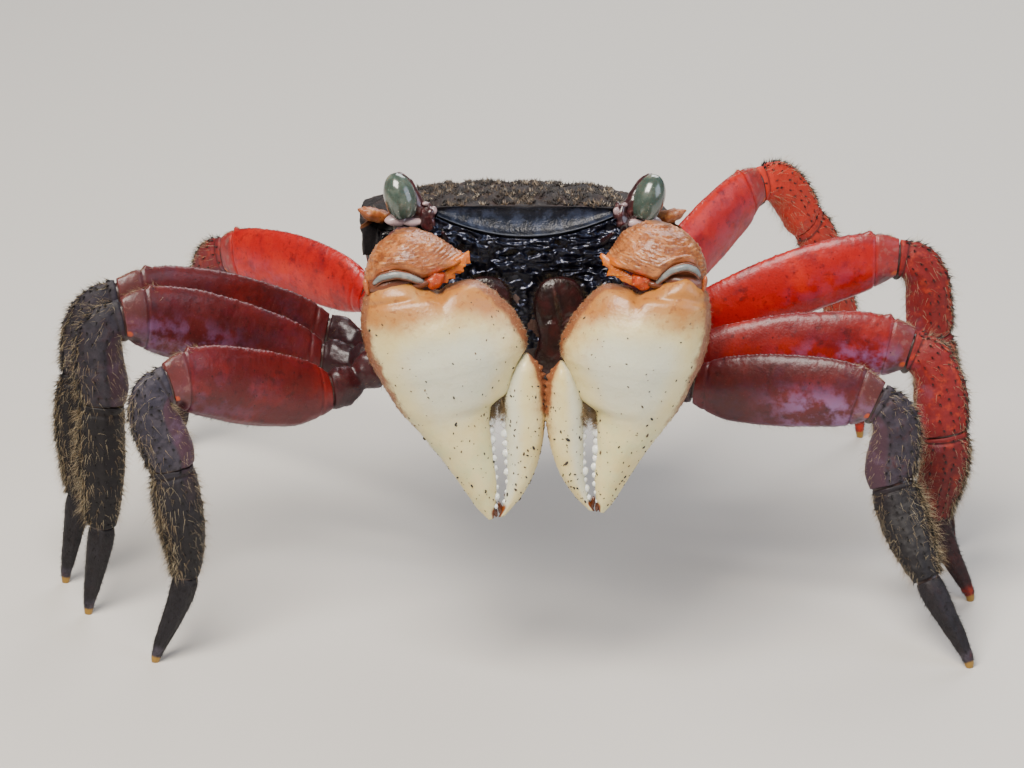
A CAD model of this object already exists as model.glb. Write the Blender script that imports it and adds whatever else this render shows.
import math

import bmesh
import bpy
import numpy as np
from mathutils import Matrix, Vector, noise


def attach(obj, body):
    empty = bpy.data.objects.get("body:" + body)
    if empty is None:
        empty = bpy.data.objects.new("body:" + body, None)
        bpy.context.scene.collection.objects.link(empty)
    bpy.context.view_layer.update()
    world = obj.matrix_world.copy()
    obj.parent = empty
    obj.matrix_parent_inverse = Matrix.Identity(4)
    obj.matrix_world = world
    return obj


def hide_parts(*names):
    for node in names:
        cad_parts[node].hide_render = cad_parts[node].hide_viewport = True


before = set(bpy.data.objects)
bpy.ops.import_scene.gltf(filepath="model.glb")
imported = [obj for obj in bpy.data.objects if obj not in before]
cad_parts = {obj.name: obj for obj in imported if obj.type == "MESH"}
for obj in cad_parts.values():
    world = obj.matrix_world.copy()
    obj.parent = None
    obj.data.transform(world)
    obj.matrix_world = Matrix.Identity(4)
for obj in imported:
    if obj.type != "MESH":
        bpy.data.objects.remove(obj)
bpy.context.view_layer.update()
print("frame loaded with", len(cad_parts), "nodes")

mm = 0.001  # sizes below are in millimetres, meshes are written in metres
chitinIndex = 1.55  # how strongly chitin bends light
rng = np.random.default_rng(11)  # seeded, so every run draws the same crab


# ---- colours and nodes
def hexColour(text):
    values = [int(text[k:k + 2], 16) / 255 for k in (1, 3, 5)]  # sRGB hex to linear
    return (*(v / 12.92 if v <= 0.04045 else ((v + 0.055) / 1.055) ** 2.4 for v in values), 1.0)


def addNode(tree, kind, settings=None, links=None):
    node = tree.nodes.new("ShaderNode" + kind)
    for key, value in (settings or {}).items():
        if key == "stops":
            ramp = node.color_ramp
            while len(ramp.elements) < len(value):
                ramp.elements.new(0.5)
            for element, (place, text) in zip(ramp.elements, value):
                element.position = place
                element.color = hexColour(text)
        elif isinstance(key, int) or key in node.inputs:
            node.inputs[key].default_value = value
        else:
            setattr(node, key, value)
    for key, socket in (links or {}).items():
        tree.links.new(socket, node.inputs[key])
    return node


def blankMaterial(name):
    made = bpy.data.materials.new(name)
    made.use_nodes = True
    return made, made.node_tree.nodes["Principled BSDF"]


def shellMaterial(name, look):
    # Crab cuticle: chitin hardened with lime, grown in layers, so it is satin and a little milky.
    # look holds a base colour, layers of colour over it, grain for the bump and the shader's numbers.
    made, shader = blankMaterial(name)
    tree = made.node_tree
    place = addNode(tree, "TexCoord").outputs["Object"]
    colour = addNode(tree, "RGB").outputs[0]
    colour.default_value = hexColour(look["base"])
    rough = addNode(tree, "Value").outputs[0]
    rough.default_value = look["roughness"]

    def pattern(kind, size, stretch=None):
        at = place
        if stretch:
            at = addNode(tree, "Mapping", {"Scale": stretch}, {"Vector": place}).outputs[0]
        scale = 1.0 / (size * mm)
        if kind == "cells":
            return addNode(tree, "TexVoronoi", {"Scale": scale}, {"Vector": at}).outputs["Distance"]
        settings = {"Scale": scale, "Detail": 4.0, "Roughness": 0.6}
        return addNode(tree, "TexNoise", settings, {"Vector": at}).outputs[0]

    for layer in look["layers"]:
        if layer["mask"] in ("noise", "cells"):
            mask = pattern(layer["mask"], layer["size"], layer.get("stretch"))
        else:
            mask = addNode(tree, "Attribute", {"attribute_name": layer["mask"]}).outputs["Fac"]
            if "ragged" in layer:  # the edge of a painted zone wanders
                push = {"operation": "MULTIPLY_ADD", 1: 2 * layer["ragged"], 2: -layer["ragged"]}
                wander = addNode(tree, "Math", push, {0: pattern("noise", layer.get("size", 0.8))}).outputs[0]
                mask = addNode(tree, "Math", {"operation": "ADD"}, {0: mask, 1: wander}).outputs[0]
        low, high = layer["range"]
        strength = layer.get("strength", 1.0)
        # a reversed range keeps what lies below it
        least, most = (strength, 0.0) if low > high else (0.0, strength)
        ends = {"interpolation_type": "SMOOTHSTEP", "From Min": min(low, high), "From Max": max(low, high),
                "To Min": least, "To Max": most}
        mask = addNode(tree, "MapRange", ends, {"Value": mask}).outputs[0]
        if "within" in layer:
            zone = addNode(tree, "Attribute", {"attribute_name": layer["within"]}).outputs["Fac"]
            mask = addNode(tree, "Math", {"operation": "MULTIPLY"}, {0: mask, 1: zone}).outputs[0]
        over = {"data_type": "RGBA", 7: hexColour(layer["colour"])}
        colour = addNode(tree, "Mix", over, {0: mask, 6: colour}).outputs[2]
        if "roughness" in layer:
            rough = addNode(tree, "Mix", {3: layer["roughness"]}, {0: mask, 2: rough}).outputs[0]
    height = None
    for kind, size, tall in look["grain"]:
        links = {0: pattern(kind, size), 2: height} if height else {0: pattern(kind, size)}
        height = addNode(tree, "Math", {"operation": "MULTIPLY_ADD", 1: tall, 2: 0.0}, links).outputs[0]
    bump = addNode(tree, "Bump", {"Distance": mm, "Strength": 1.0}, {"Height": height})
    tree.links.new(colour, shader.inputs["Base Color"])
    tree.links.new(rough, shader.inputs["Roughness"])
    tree.links.new(bump.outputs[0], shader.inputs["Normal"])
    shader.inputs["IOR"].default_value = chitinIndex
    for key, value in look["shader"].items():
        shader.inputs[key].default_value = value
    return made


def hairMaterial(name, stops, roughness):
    # Setae: bristles of the same chitin, unlimed, tanned brown to black and paler where thin.
    made, shader = blankMaterial(name)
    tree = made.node_tree
    shade = addNode(tree, "Attribute", {"attribute_name": "shade"}).outputs["Fac"]
    colour = addNode(tree, "ValToRGB", {"stops": stops}, {0: shade}).outputs[0]
    tree.links.new(colour, shader.inputs["Base Color"])
    shader.inputs["Roughness"].default_value = roughness
    shader.inputs["IOR"].default_value = chitinIndex
    return made


def paint(mask, span, colour, **more):
    # a layer of colour where a mask lies in a span; a mask is a pattern, or a zone painted on the mesh
    return {"mask": mask, "range": span, "colour": colour, **more}


satin = {"Coat Weight": 0.2, "Coat Roughness": 0.2, "Coat IOR": 1.4}
wet = {"Coat Weight": 0.7, "Coat Roughness": 0.07, "Coat IOR": 1.4, "Coat Tint": hexColour("#9db4ff")}
materials = {
    # limed plates of the back, dark with pigment and rough, so that they stay dark under the sky
    "carapaceCuticle": shellMaterial("carapaceCuticle", {
        "base": "#171012", "roughness": 0.7,
        "layers": [
            paint("noise", (0.42, 0.62), "#2a1c1b", size=3.0),
            paint("noise", (0.5, 0.7), "#110d10", size=1.1),
            paint("noise", (0.54, 0.66), "#382d26", size=0.45, within="lobe"),
            paint("cells", (0.14, 0.05), "#75664f", size=0.55, within="lobe", strength=0.7),
            paint("side", (0.3, 0.9), "#120d10", ragged=0.2),
            paint("plate", (0.2, 0.5), "#10141f", roughness=0.28),
            paint("noise", (0.42, 0.66), "#343c50", size=1.6, within="plate", strength=0.8),
            paint("noise", (0.56, 0.7), "#4a5263", size=0.6, within="plate", strength=0.4),
            paint("lip", (0.3, 0.8), "#565c68", ragged=0.35, size=0.9, roughness=0.3, strength=0.8),
            paint("tooth", (0.25, 0.75), "#6b3f22", ragged=0.25, size=0.5),
            paint("dim", (0.3, 0.8), "#0a090c", roughness=0.14),
        ],
        "grain": [("noise", 0.9, 0.12), ("noise", 0.22, 0.06)],
        "shader": {"IOR": 1.45},
    }),
    # thin wet cuticle under the front, almost black, with blue glints of the sky
    "faceCuticle": shellMaterial("faceCuticle", {
        "base": "#0b090b", "roughness": 0.3,
        "layers": [
            paint("noise", (0.5, 0.7), "#141110", size=1.4),
            paint("noise", (0.55, 0.7), "#1f1a15", size=0.5, roughness=0.5),
            paint("net", (0.3, 0.9), "#2a231a"),
        ],
        "grain": [("noise", 0.7, 0.1), ("noise", 0.2, 0.03)],
        "shader": wet,
    }),
    "mouthCuticle": shellMaterial("mouthCuticle", {
        "base": "#1a0608", "roughness": 0.32,
        "layers": [
            paint("noise", (0.4, 0.65), "#330c0e", size=1.6),
            paint("noise", (0.55, 0.72), "#0f0608", size=0.4),
            paint("rim", (0.3, 0.9), "#46201a", ragged=0.2),
        ],
        "grain": [("noise", 0.6, 0.08), ("cells", 0.3, 0.03)],
        "shader": satin,
    }),
    # spiny outer corner of the orbit, tanned like the wrists
    "orbitCuticle": shellMaterial("orbitCuticle", {
        "base": "#8a481f", "roughness": 0.45,
        "layers": [
            paint("noise", (0.46, 0.66), "#b8763c", size=0.8),
            paint("noise", (0.56, 0.7), "#50281b", size=0.4),
            paint("dim", (0.2, 0.9), "#2a1814", ragged=0.2, size=0.5),
        ],
        "grain": [("noise", 0.3, 0.06)],
        "shader": satin,
    }),
    # underside: thinner, paler plates
    "sternumCuticle": shellMaterial("sternumCuticle", {
        "base": "#34201e", "roughness": 0.55,
        "layers": [
            paint("noise", (0.4, 0.65), "#4b342c", size=3.5),
            paint("belly", (0.2, 0.9), "#6e5442", ragged=0.3, size=2.0),
            paint("noise", (0.55, 0.7), "#2a1a1a", size=0.8, strength=0.7),
            paint("side", (0.3, 0.8), "#130d10", ragged=0.25, size=1.5),
            paint("groove", (0.3, 0.9), "#1c1012"),
        ],
        "grain": [("noise", 0.8, 0.08), ("noise", 0.2, 0.03)],
        "shader": satin,
    }),
    # claws: thick and heavily limed, cream like ivory, with tanned grainy rims
    "clawCuticle": shellMaterial("clawCuticle", {
        "base": "#ddd09a", "roughness": 0.4,
        "layers": [
            paint("noise", (0.4, 0.65), "#d8c586", size=7.0),
            paint("milk", (0.0, 1.0), "#d1d3c0", ragged=0.3, size=4.0, strength=0.85),
            paint("noise", (0.45, 0.7), "#c9cc98", size=4.0, within="dim", strength=0.7),
            paint("warm", (0.0, 1.1), "#ae6c28", ragged=0.45, size=2.2, strength=0.95),
            paint("noise", (0.55, 0.68), "#8a5026", size=0.7, within="warm", strength=0.7),
            paint("rim", (0.15, 0.7), "#8c5634", ragged=0.6, size=1.6, roughness=0.5),
            paint("noise", (0.5, 0.64), "#5f2f1a", size=0.3, within="rim", strength=0.8),
            paint("cells", (0.16, 0.08), "#e0b78e", size=0.5, within="rim", strength=0.8),
            paint("cells", (0.07, 0.04), "#4b3a2c", size=1.3, stretch=(0.7, 1.0, 1.5)),
            paint("cells", (0.06, 0.03), "#8d7350", size=0.7),
            paint("tooth", (0.2, 0.8), "#e3e6e2", roughness=0.25),
            paint("horn", (0.25, 0.75), "#7a3c12", ragged=0.15, size=0.6, roughness=0.22),
            paint("horn", (0.8, 1.1), "#32170b", ragged=0.1),
        ],
        "grain": [("noise", 0.7, 0.03), ("cells", 0.35, 0.02)],
        "shader": {**satin, "Subsurface Weight": 0.15, "Subsurface Radius": (1.0, 0.7, 0.4),
                   "Subsurface Scale": 0.8 * mm},
    }),
    # wrists: scaly ridges, orange-brown
    "wristCuticle": shellMaterial("wristCuticle", {
        "base": "#8a4a1c", "roughness": 0.42,
        "layers": [
            paint("noise", (0.4, 0.62), "#af6c38", size=2.4),
            paint("noise", (0.5, 0.66), "#78401f", size=1.0, strength=0.8),
            paint("noise", (0.52, 0.68), "#5a2c17", size=0.4, strength=0.7),
            paint("ridge", (0.5, 1.0), "#c99c68", strength=0.4),
            paint("cells", (0.14, 0.07), "#2c150e", size=0.8, strength=0.8),
            paint("rim", (0.2, 0.9), "#8a4a22", ragged=0.25, size=0.6),
            paint("knob", (0.2, 0.8), "#b8420f", ragged=0.2, size=0.5),
            paint("noise", (0.46, 0.6), "#8e2410", size=0.7, within="knob"),
            paint("noise", (0.56, 0.66), "#e08a5a", size=0.35, within="knob", strength=0.7),
            paint("warm", (0.3, 0.9), "#b85c08", ragged=0.2, size=0.5, roughness=0.35),
            paint("noise", (0.55, 0.7), "#dc8f18", size=0.4, within="warm"),
        ],
        "grain": [("noise", 0.4, 0.05), ("cells", 0.25, 0.03)],
        "shader": {**satin, "Coat Weight": 0.3, "Coat Roughness": 0.12},
    }),
    "jointMembrane": shellMaterial("jointMembrane", {
        "base": "#70787a", "roughness": 0.35,
        "layers": [
            paint("noise", (0.4, 0.7), "#98948e", size=1.0),
            paint("warm", (0.2, 0.8), "#6b3a24"),
            paint("dim", (0.0, 1.0), "#241012"),
        ],
        "grain": [("noise", 0.5, 0.05)],
        "shader": {**satin, "Subsurface Weight": 0.2, "Subsurface Scale": 0.5 * mm},
    }),
    # long plates of the legs: thin, so light goes in; maroon in front to bright red behind
    "meralCuticle": shellMaterial("meralCuticle", {
        "base": "#451212", "roughness": 0.4,
        "layers": [
            paint("noise", (0.4, 0.65), "#591a19", size=6.0),
            paint("noise", (0.5, 0.66), "#3f1c2a", size=4.0, strength=0.7),
            paint("tint", (0.0, 1.0), "#ae0d06"),
            paint("noise", (0.46, 0.66), "#c9260b", size=5.0, within="tint", strength=0.8),
            paint("noise", (0.52, 0.66), "#5a0f1c", size=3.2, strength=0.45),
            paint("noise", (0.56, 0.7), "#2c0b10", size=1.2, strength=0.5),
            paint("noise", (0.56, 0.7), "#2a0d10", size=0.35, strength=0.4),
            paint("noise", (0.42, 0.62), "#95709c", size=2.2, within="soft", strength=0.62, roughness=0.25),
            paint("end", (0.0, 1.0), "#64403c", ragged=0.35, size=2.0, strength=0.4),
            paint("noise", (0.54, 0.66), "#8f6a60", size=0.9, within="end", strength=0.35),
            paint("rim", (0.3, 0.9), "#6a3830", ragged=0.3, size=0.5, strength=0.6),
            paint("groove", (0.3, 0.9), "#2a0c0b", ragged=0.1, strength=0.7),
            paint("dim", (0.0, 1.0), "#190c0f"),
            paint("knob", (0.3, 0.8), "#cf5420", ragged=0.15, size=0.6),
            paint("cells", (0.07, 0.04), "#230c0e", size=1.6),
            paint("cells", (0.1, 0.04), "#8f5248", size=0.55, strength=0.5),
        ],
        "grain": [("noise", 1.0, 0.05), ("noise", 0.25, 0.02)],
        "shader": {"IOR": 1.45, "Coat Weight": 0.18, "Coat Roughness": 0.16, "Coat IOR": 1.4,
                   "Coat Tint": hexColour("#c9d2ff"), "Subsurface Weight": 0.2,
                   "Subsurface Radius": (1.6, 0.25, 0.15), "Subsurface Scale": 1.0 * mm},
    }),
    # end pieces of the legs: mottled grey to red, softer lilac skin on the inside of the bend
    "lowerCuticle": shellMaterial("lowerCuticle", {
        "base": "#2f2c39", "roughness": 0.6,
        "layers": [
            paint("noise", (0.42, 0.62), "#443f4a", size=1.6),
            paint("noise", (0.52, 0.68), "#241f26", size=0.6, strength=0.8),
            paint("cells", (0.16, 0.06), "#736b70", size=0.35, strength=0.45),
            paint("tint", (0.0, 1.0), "#7c120c", ragged=0.15, size=2.0),
            paint("noise", (0.5, 0.7), "#a8331a", size=1.2, within="tint"),
            paint("tint", (0.86, 1.0), "#c42e14", strength=0.85),
            paint("noise", (0.56, 0.7), "#3a0f0e", size=0.5, within="tint", strength=0.6),
            paint("soft", (0.2, 0.8), "#4c2c3c", ragged=0.25, size=1.5, roughness=0.4, strength=0.85),
            paint("noise", (0.5, 0.75), "#7c6684", size=2.0, within="soft", strength=0.5),
            paint("dim", (0.0, 1.0), "#151216", ragged=0.15, size=2.5),
            paint("horn", (0.2, 0.9), "#9a7632", ragged=0.2, size=0.6, roughness=0.3),
            paint("groove", (0.3, 0.9), "#1b1114"),
        ],
        "grain": [("noise", 0.6, 0.08), ("noise", 0.2, 0.03)],
        "shader": {"IOR": 1.42},
    }),
    "stalkCuticle": shellMaterial("stalkCuticle", {
        "base": "#2c1114", "roughness": 0.3,
        "layers": [
            paint("noise", (0.45, 0.65), "#4a1a1c", size=1.0),
            paint("noise", (0.55, 0.7), "#6b5a57", size=0.5, strength=0.6),
            paint("soft", (0.3, 0.8), "#b59a9c", ragged=0.15),
        ],
        "grain": [("noise", 0.4, 0.05)],
        "shader": {"Coat Weight": 0.8, "Coat Roughness": 0.08, "Coat IOR": 1.4},
    }),
    # the compound eye: thousands of lenses of 0.03 mm, too fine to show, so drawn as larger specks
    "corneaLens": shellMaterial("corneaLens", {
        "base": "#3d4a42", "roughness": 0.2,
        "layers": [
            paint("noise", (0.4, 0.65), "#566056", size=1.6),
            paint("cells", (0.3, 0.12), "#2e3a33", size=0.22, strength=0.6),
            paint("cells", (0.12, 0.05), "#a9a58c", size=0.5, strength=0.8),
            paint("top", (0.4, 1.0), "#b5b49c", ragged=0.2, size=0.7, strength=0.75),
        ],
        "grain": [("cells", 0.12, 0.004)],
        "shader": {"Coat Weight": 1.0, "Coat Roughness": 0.04, "Subsurface Weight": 0.25,
                   "Subsurface Scale": 0.6 * mm},
    }),
}
for name, roughness, stops in (
    ("darkBristle", 0.5, ((0.0, "#0b090b"), (0.6, "#1b1413"), (0.85, "#4a3826"), (1.0, "#8d7650"))),
    ("paleHair", 0.45, ((0.0, "#6a553c"), (0.5, "#a58c66"), (1.0, "#d2c3a0"))),
    ("lobeTuft", 0.6, ((0.0, "#0f0c0d"), (0.45, "#2e241e"), (0.75, "#6f5c47"), (1.0, "#b9ad9a"))),
    ("faceBristle", 0.4, ((0.0, "#0a090a"), (0.7, "#221c15"), (1.0, "#5e4d33"))),
):
    materials[name] = hairMaterial(name, stops, roughness)
print("materials made:", len(materials))


# ---- shaping tools
def smoothTable(rows, places):
    # values between the rows of a table, eased so that no bump overshoots
    table = np.array(rows, float)
    at, values = table[:, 0], table[:, 1:]
    places = np.clip(np.asarray(places, float), at[0], at[-1])
    step = np.diff(at)[:, None]
    slope = np.diff(values, axis=0) / step
    lean = np.zeros_like(values)
    both = slope[:-1] * slope[1:]
    total = slope[:-1] + slope[1:]
    lean[1:-1] = np.where(both > 0, 2 * both / np.where(total == 0, 1, total), 0)
    lean[0], lean[-1] = slope[0], slope[-1]
    k = np.clip(np.searchsorted(at, places, side="right") - 1, 0, len(at) - 2)
    t = ((places - at[k]) / (at[k + 1] - at[k]))[:, None]
    near, far = values[k], values[k + 1]
    return (near * (1 + 2 * t) * (1 - t) ** 2 + lean[k] * step[k] * t * (1 - t) ** 2
            + far * t * t * (3 - 2 * t) + lean[k + 1] * step[k] * t * t * (t - 1))


def ease(value, low, high):
    t = np.clip((value - low) / (high - low), 0, 1)
    return t * t * (3 - 2 * t)


def bell(value, centre, width):
    return np.exp(-((value - centre) / width) ** 2)


def unit(vectors):
    return vectors / np.maximum(np.linalg.norm(vectors, axis=-1, keepdims=True), 1e-9)


def bumps(points, size, octaves=2):
    flat = [noise.fractal(Vector(p) / size, 1.0, 2.0, octaves) for p in points.reshape(-1, 3)]
    return np.array(flat).reshape(points.shape[:-1])


def warts(points, size, reach=0.5):
    # rounded grains about size apart, 1 at the top of each and 0 between them
    flat = [noise.voronoi(Vector(p) / size)[0][0] for p in points.reshape(-1, 3)]
    return np.clip(1 - np.array(flat).reshape(points.shape[:-1]) / reach, 0, 1) ** 0.7


def toWorld(place, points):
    origin, axes = place[:2]
    return origin + np.asarray(points, float) @ axes


def hoop(across, over, sides):
    # ways out from a middle, all round, for one pair of directions or a row of pairs
    angles = np.linspace(0, 2 * np.pi, sides, endpoint=False)[:, None]
    return across[..., None, :] * np.cos(angles) + over[..., None, :] * np.sin(angles)


def section(sides):
    # how high and how far forward each place round a section is; the first is at its upper edge
    angles = 2 * np.pi * (0.25 + np.arange(sides) / sides)
    return np.sin(angles), np.cos(angles)


def ringNormals(rings):
    around = np.roll(rings, -1, axis=1) - np.roll(rings, 1, axis=1)
    along = np.gradient(rings, axis=0)
    normals = unit(np.cross(along, around))
    out = rings - rings.mean(axis=1, keepdims=True)
    return normals if (normals * out).sum() > 0 else -normals


def newSkin():
    # an empty mesh with a layer for each zone that can be painted on it
    skin = bmesh.new()
    for key in ("rim", "end", "knob", "groove", "tint", "soft", "horn", "tooth", "milk", "warm", "ridge",
                "lobe", "plate", "lip", "side", "belly", "net", "top", "dim"):
        skin.verts.layers.float.new(key)
    return skin


def addSheet(skin, places, paints):
    # a grid through rows of places, with its paint
    rows, cols = places.shape[:2]
    verts = bmesh.ops.create_grid(skin, x_segments=cols - 1, y_segments=rows - 1, size=1.0)["verts"]
    for vert, place in zip(verts, places.reshape(-1, 3)):
        vert.co = place
    for key, values in paints.items():
        layer = skin.verts.layers.float[key]
        for vert, value in zip(verts, values.ravel()):
            vert[layer] = value
    return verts


def addTube(skin, rings, paints=None):
    # a skin through rings: a sheet bent round, welded along its seam and closed at its ends
    size = rings.shape[:2]
    wrap = list(range(size[1])) + [0]
    wrapped = {key: np.broadcast_to(values, size)[:, wrap] for key, values in (paints or {}).items()}
    verts = addSheet(skin, rings[:, wrap], wrapped)
    bmesh.ops.remove_doubles(skin, verts=verts, dist=0.0005)
    rims = dict.fromkeys(e for v in verts if v.is_valid for e in v.link_edges if e.is_boundary)
    bmesh.ops.holes_fill(skin, edges=list(rims), sides=0)


def addBall(skin, centre, axes, radii, segments=24, paints=None, wobble=0.0):
    # an ellipsoid whose axes are the rows of axes
    turned = np.array(axes, float) * np.array(radii, float)[:, None]
    matrix = Matrix.Translation(Vector(centre)) @ Matrix(turned.T.tolist()).to_4x4()
    sizes = {"u_segments": segments, "v_segments": segments // 2 + 1, "radius": 1.0}
    for vert in bmesh.ops.create_uvsphere(skin, matrix=matrix, **sizes)["verts"]:
        if wobble:
            vert.co += (vert.co - Vector(centre)) * wobble * noise.noise(vert.co * 1.3)
        for key, value in (paints or {}).items():
            vert[skin.verts.layers.float[key]] = value


def setOut(name, data):
    made = bpy.data.objects.new(name, data)
    bpy.context.scene.collection.objects.link(made)
    return made


def finishMesh(name, mesh, material, nodes):
    mesh.materials.append(materials[material])
    mesh.shade_smooth()
    piece = setOut(name, mesh)
    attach(piece, "root")
    if nodes:
        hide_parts(*nodes)


def finishPiece(name, skin, material, nodes=()):
    bmesh.ops.recalc_face_normals(skin, faces=skin.faces)
    bmesh.ops.scale(skin, vec=(mm, mm, mm), verts=skin.verts)
    layers = list(skin.verts.layers.float.keys())
    mesh = bpy.data.meshes.new(name)
    skin.to_mesh(mesh)
    skin.free()
    for key in layers:  # paint that this piece doesn't use is dropped
        values = np.zeros(len(mesh.vertices), np.float32)
        mesh.attributes[key].data.foreach_get("value", values)
        if not values.any():
            mesh.attributes.remove(mesh.attributes[key])
    finishMesh(name, mesh, material, nodes)


# ---- hairs and grains: one small shape, planted many times and joined
def hairShape(cuts):
    shape = bmesh.new()
    lift = Matrix.Translation((0, 0, 0.5))
    sizes = {"segments": 3, "radius1": 1.0, "radius2": 0.0, "depth": 1.0}
    bmesh.ops.create_cone(shape, cap_ends=True, matrix=lift, **sizes)
    bmesh.ops.remove_doubles(shape, verts=shape.verts, dist=0.001)
    for k in range(1, cuts + 1):
        everything = shape.verts[:] + shape.edges[:] + shape.faces[:]
        bmesh.ops.bisect_plane(shape, geom=everything, plane_co=(0, 0, k / (cuts + 1)), plane_no=(0, 0, 1))
    bmesh.ops.triangulate(shape, faces=shape.faces)
    return shapeArrays(shape)


def grainShape():
    shape = bmesh.new()
    bmesh.ops.create_icosphere(shape, subdivisions=1, radius=1.0)
    return shapeArrays(shape)


def shapeArrays(shape):
    bmesh.ops.recalc_face_normals(shape, faces=shape.faces)
    shape.verts.index_update()
    points = np.array([v.co for v in shape.verts])
    faces = np.array([[v.index for v in f.verts] for f in shape.faces])
    shape.free()
    return points, faces


shapes = {"stub": hairShape(0), "bristle": hairShape(1), "hair": hairShape(3), "grain": grainShape()}
floorClear = 0.12  # no hair comes nearer to the floor than this


def plant(batches, shape, roots, ways, leans, lengths, widths, uv, shade, bend=0.0):
    points, faces = shapes[shape]
    ways = unit(ways)
    across = unit(np.cross(ways, leans))
    over = np.cross(across, ways)
    lengths, widths, bend = (np.broadcast_to(v, len(roots))[:, None, None] for v in (lengths, widths, bend))
    x, y, z = (points[:, k][None, :, None] for k in range(3))
    made = (roots[:, None] + ways[:, None] * z * lengths + over[:, None] * (bend * z * z * lengths)
            + (across[:, None] * x + over[:, None] * y) * widths)
    made[..., 2] = np.maximum(made[..., 2], floorClear)
    batches.append((made, faces, uv, np.broadcast_to(shade, len(roots)), points))


patchSize = 0.003  # of the OFBake square, for each tuft
wholeTile = (0.02, 0.02, 0.96, 0.96)  # corner and size of the part of the square that a skin's roots use


def finishCoat(name, batches, material):
    points, faces, uvs, shades, start = [], [], [], [], 0
    for made, shapeFaces, uv, shade, local in batches:
        count, size = made.shape[:2]
        points.append(made.reshape(-1, 3))
        faces.append((shapeFaces[None] + start + np.arange(count)[:, None, None] * size).reshape(-1, 3))
        patch = np.stack((local[:, 0] / 2, local[:, 2] - 0.5), axis=1) * patchSize
        uvs.append(np.clip(uv[:, None] + patch[None], 0, 1).reshape(-1, 2))
        shades.append(np.repeat(shade, size))
        start += count * size
    points, faces, uvs, shades = (np.concatenate(part) for part in (points, faces, uvs, shades))
    mesh = bpy.data.meshes.new(name)
    mesh.vertices.add(len(points))
    mesh.vertices.foreach_set("co", (points * mm).astype(np.float32).ravel())
    mesh.loops.add(faces.size)
    mesh.loops.foreach_set("vertex_index", faces.astype(np.int32).ravel())
    mesh.polygons.add(len(faces))
    mesh.polygons.foreach_set("loop_start", np.arange(0, faces.size, 3, dtype=np.int32))
    mesh.update(calc_edges=True)
    mesh.validate()
    layer = mesh.uv_layers.new(name="OFBake")
    layer.uv.foreach_set("vector", uvs[faces.ravel()].astype(np.float32).ravel())
    mesh.attributes.new("shade", "FLOAT", "POINT").data.foreach_set("value", shades.astype(np.float32))
    finishMesh(name, mesh, material, ())
    print("  ", name, "has", len(faces), "faces")


def onSkin(skin, rows, cols):
    # place, outward way and way along the skin at fractional rows and columns of its rings
    rings, normals = skin["rings"], skin["normals"]
    count, around = rings.shape[:2]
    rows = np.clip(rows, 0, count - 1.001)
    r, c = rows.astype(int), np.floor(cols).astype(int)
    fr, fc = (rows - r)[:, None], (cols - c)[:, None]
    c, d = c % around, (c + 1) % around

    def mixed(grid):
        return (grid[r, c] * (1 - fr) * (1 - fc) + grid[r + 1, c] * fr * (1 - fc)
                + grid[r, d] * (1 - fr) * fc + grid[r + 1, d] * fr * fc)

    along = unit(rings[r + 1, c] - rings[r, c])
    x, y, w, h = skin["tile"]
    uv = np.stack((x + w * (cols % around) / around, y + h * rows / (count - 1)), axis=1)
    return mixed(rings), unit(mixed(normals)), along, uv


def grow(batches, shape, skin, rows, cols, length, width, stand, shade, bend=0.25, spread=0.25, sink=0.06):
    # hairs on a skin: stand 1 is upright, 0 lies along it
    rows, cols = np.asarray(rows, float), np.asarray(cols, float)
    roots, out, along, uv = onSkin(skin, rows, cols)
    stand = np.broadcast_to(stand, len(rows))[:, None]
    ways = out * stand + along * (1 - stand) + rng.normal(0, spread, roots.shape)
    facing = (ways * out).sum(axis=1, keepdims=True)
    ways = ways + out * np.maximum(0.15 - facing, 0)
    plant(batches, shape, roots - out * sink, ways, along + out * 0.01, length, width, uv, shade, bend)


def vary(middle, share, count):
    return middle * (1 + rng.uniform(-share, share, count))


def growKind(batches, skin, rows, cols, kind):
    # kind: shape, length and its share of change, width, stand, shade from and to, bend and spread
    shape, length, change, width, stand, darkest, palest, bend, spread = kind
    lengths, shade = vary(length, change, len(rows)), rng.uniform(darkest, palest, len(rows))
    grow(batches, shape, skin, rows, cols, lengths, width, stand, shade, bend, spread)


def pickCells(mask, count):
    # rows and columns on a grid, near cells where the mask holds
    cells = np.argwhere(mask)
    return (cells[rng.integers(0, len(cells), count)] + rng.uniform(-0.5, 0.5, (count, 2))).T


def distances(points):
    # how far along a path each of its points lies
    return np.r_[0, np.cumsum(np.linalg.norm(np.diff(points, axis=0), axis=1))]


def gridNormals(grid, outward):
    normals = unit(np.cross(np.gradient(grid, axis=1), np.gradient(grid, axis=0)))
    return normals if (normals @ outward).sum() > 0 else -normals


# ---- where the body and the claws stand, as in the solids
stance = {"frontHeight": 53.5, "turn": 7.0, "pitch": 20.0, "roll": 0.6, "centre": (-0.98, 15.02)}


def bodyPlace():
    pitch, turn, roll = (math.radians(stance[key]) for key in ("pitch", "turn", "roll"))
    sloped = np.array((0.0, math.cos(pitch), -math.sin(pitch)))
    raised = np.array((0.0, math.sin(pitch), math.cos(pitch)))
    level = np.array((1.0, 0.0, 0.0)) * math.cos(roll) - raised * math.sin(roll)
    left = level * math.cos(turn) + sloped * math.sin(turn)
    back = sloped * math.cos(turn) - level * math.sin(turn)
    origin = np.array((-stance["centre"][0], -stance["centre"][1], stance["frontHeight"]))
    return origin, np.array((left, back, np.cross(left, back)))


body = bodyPlace()

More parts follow.
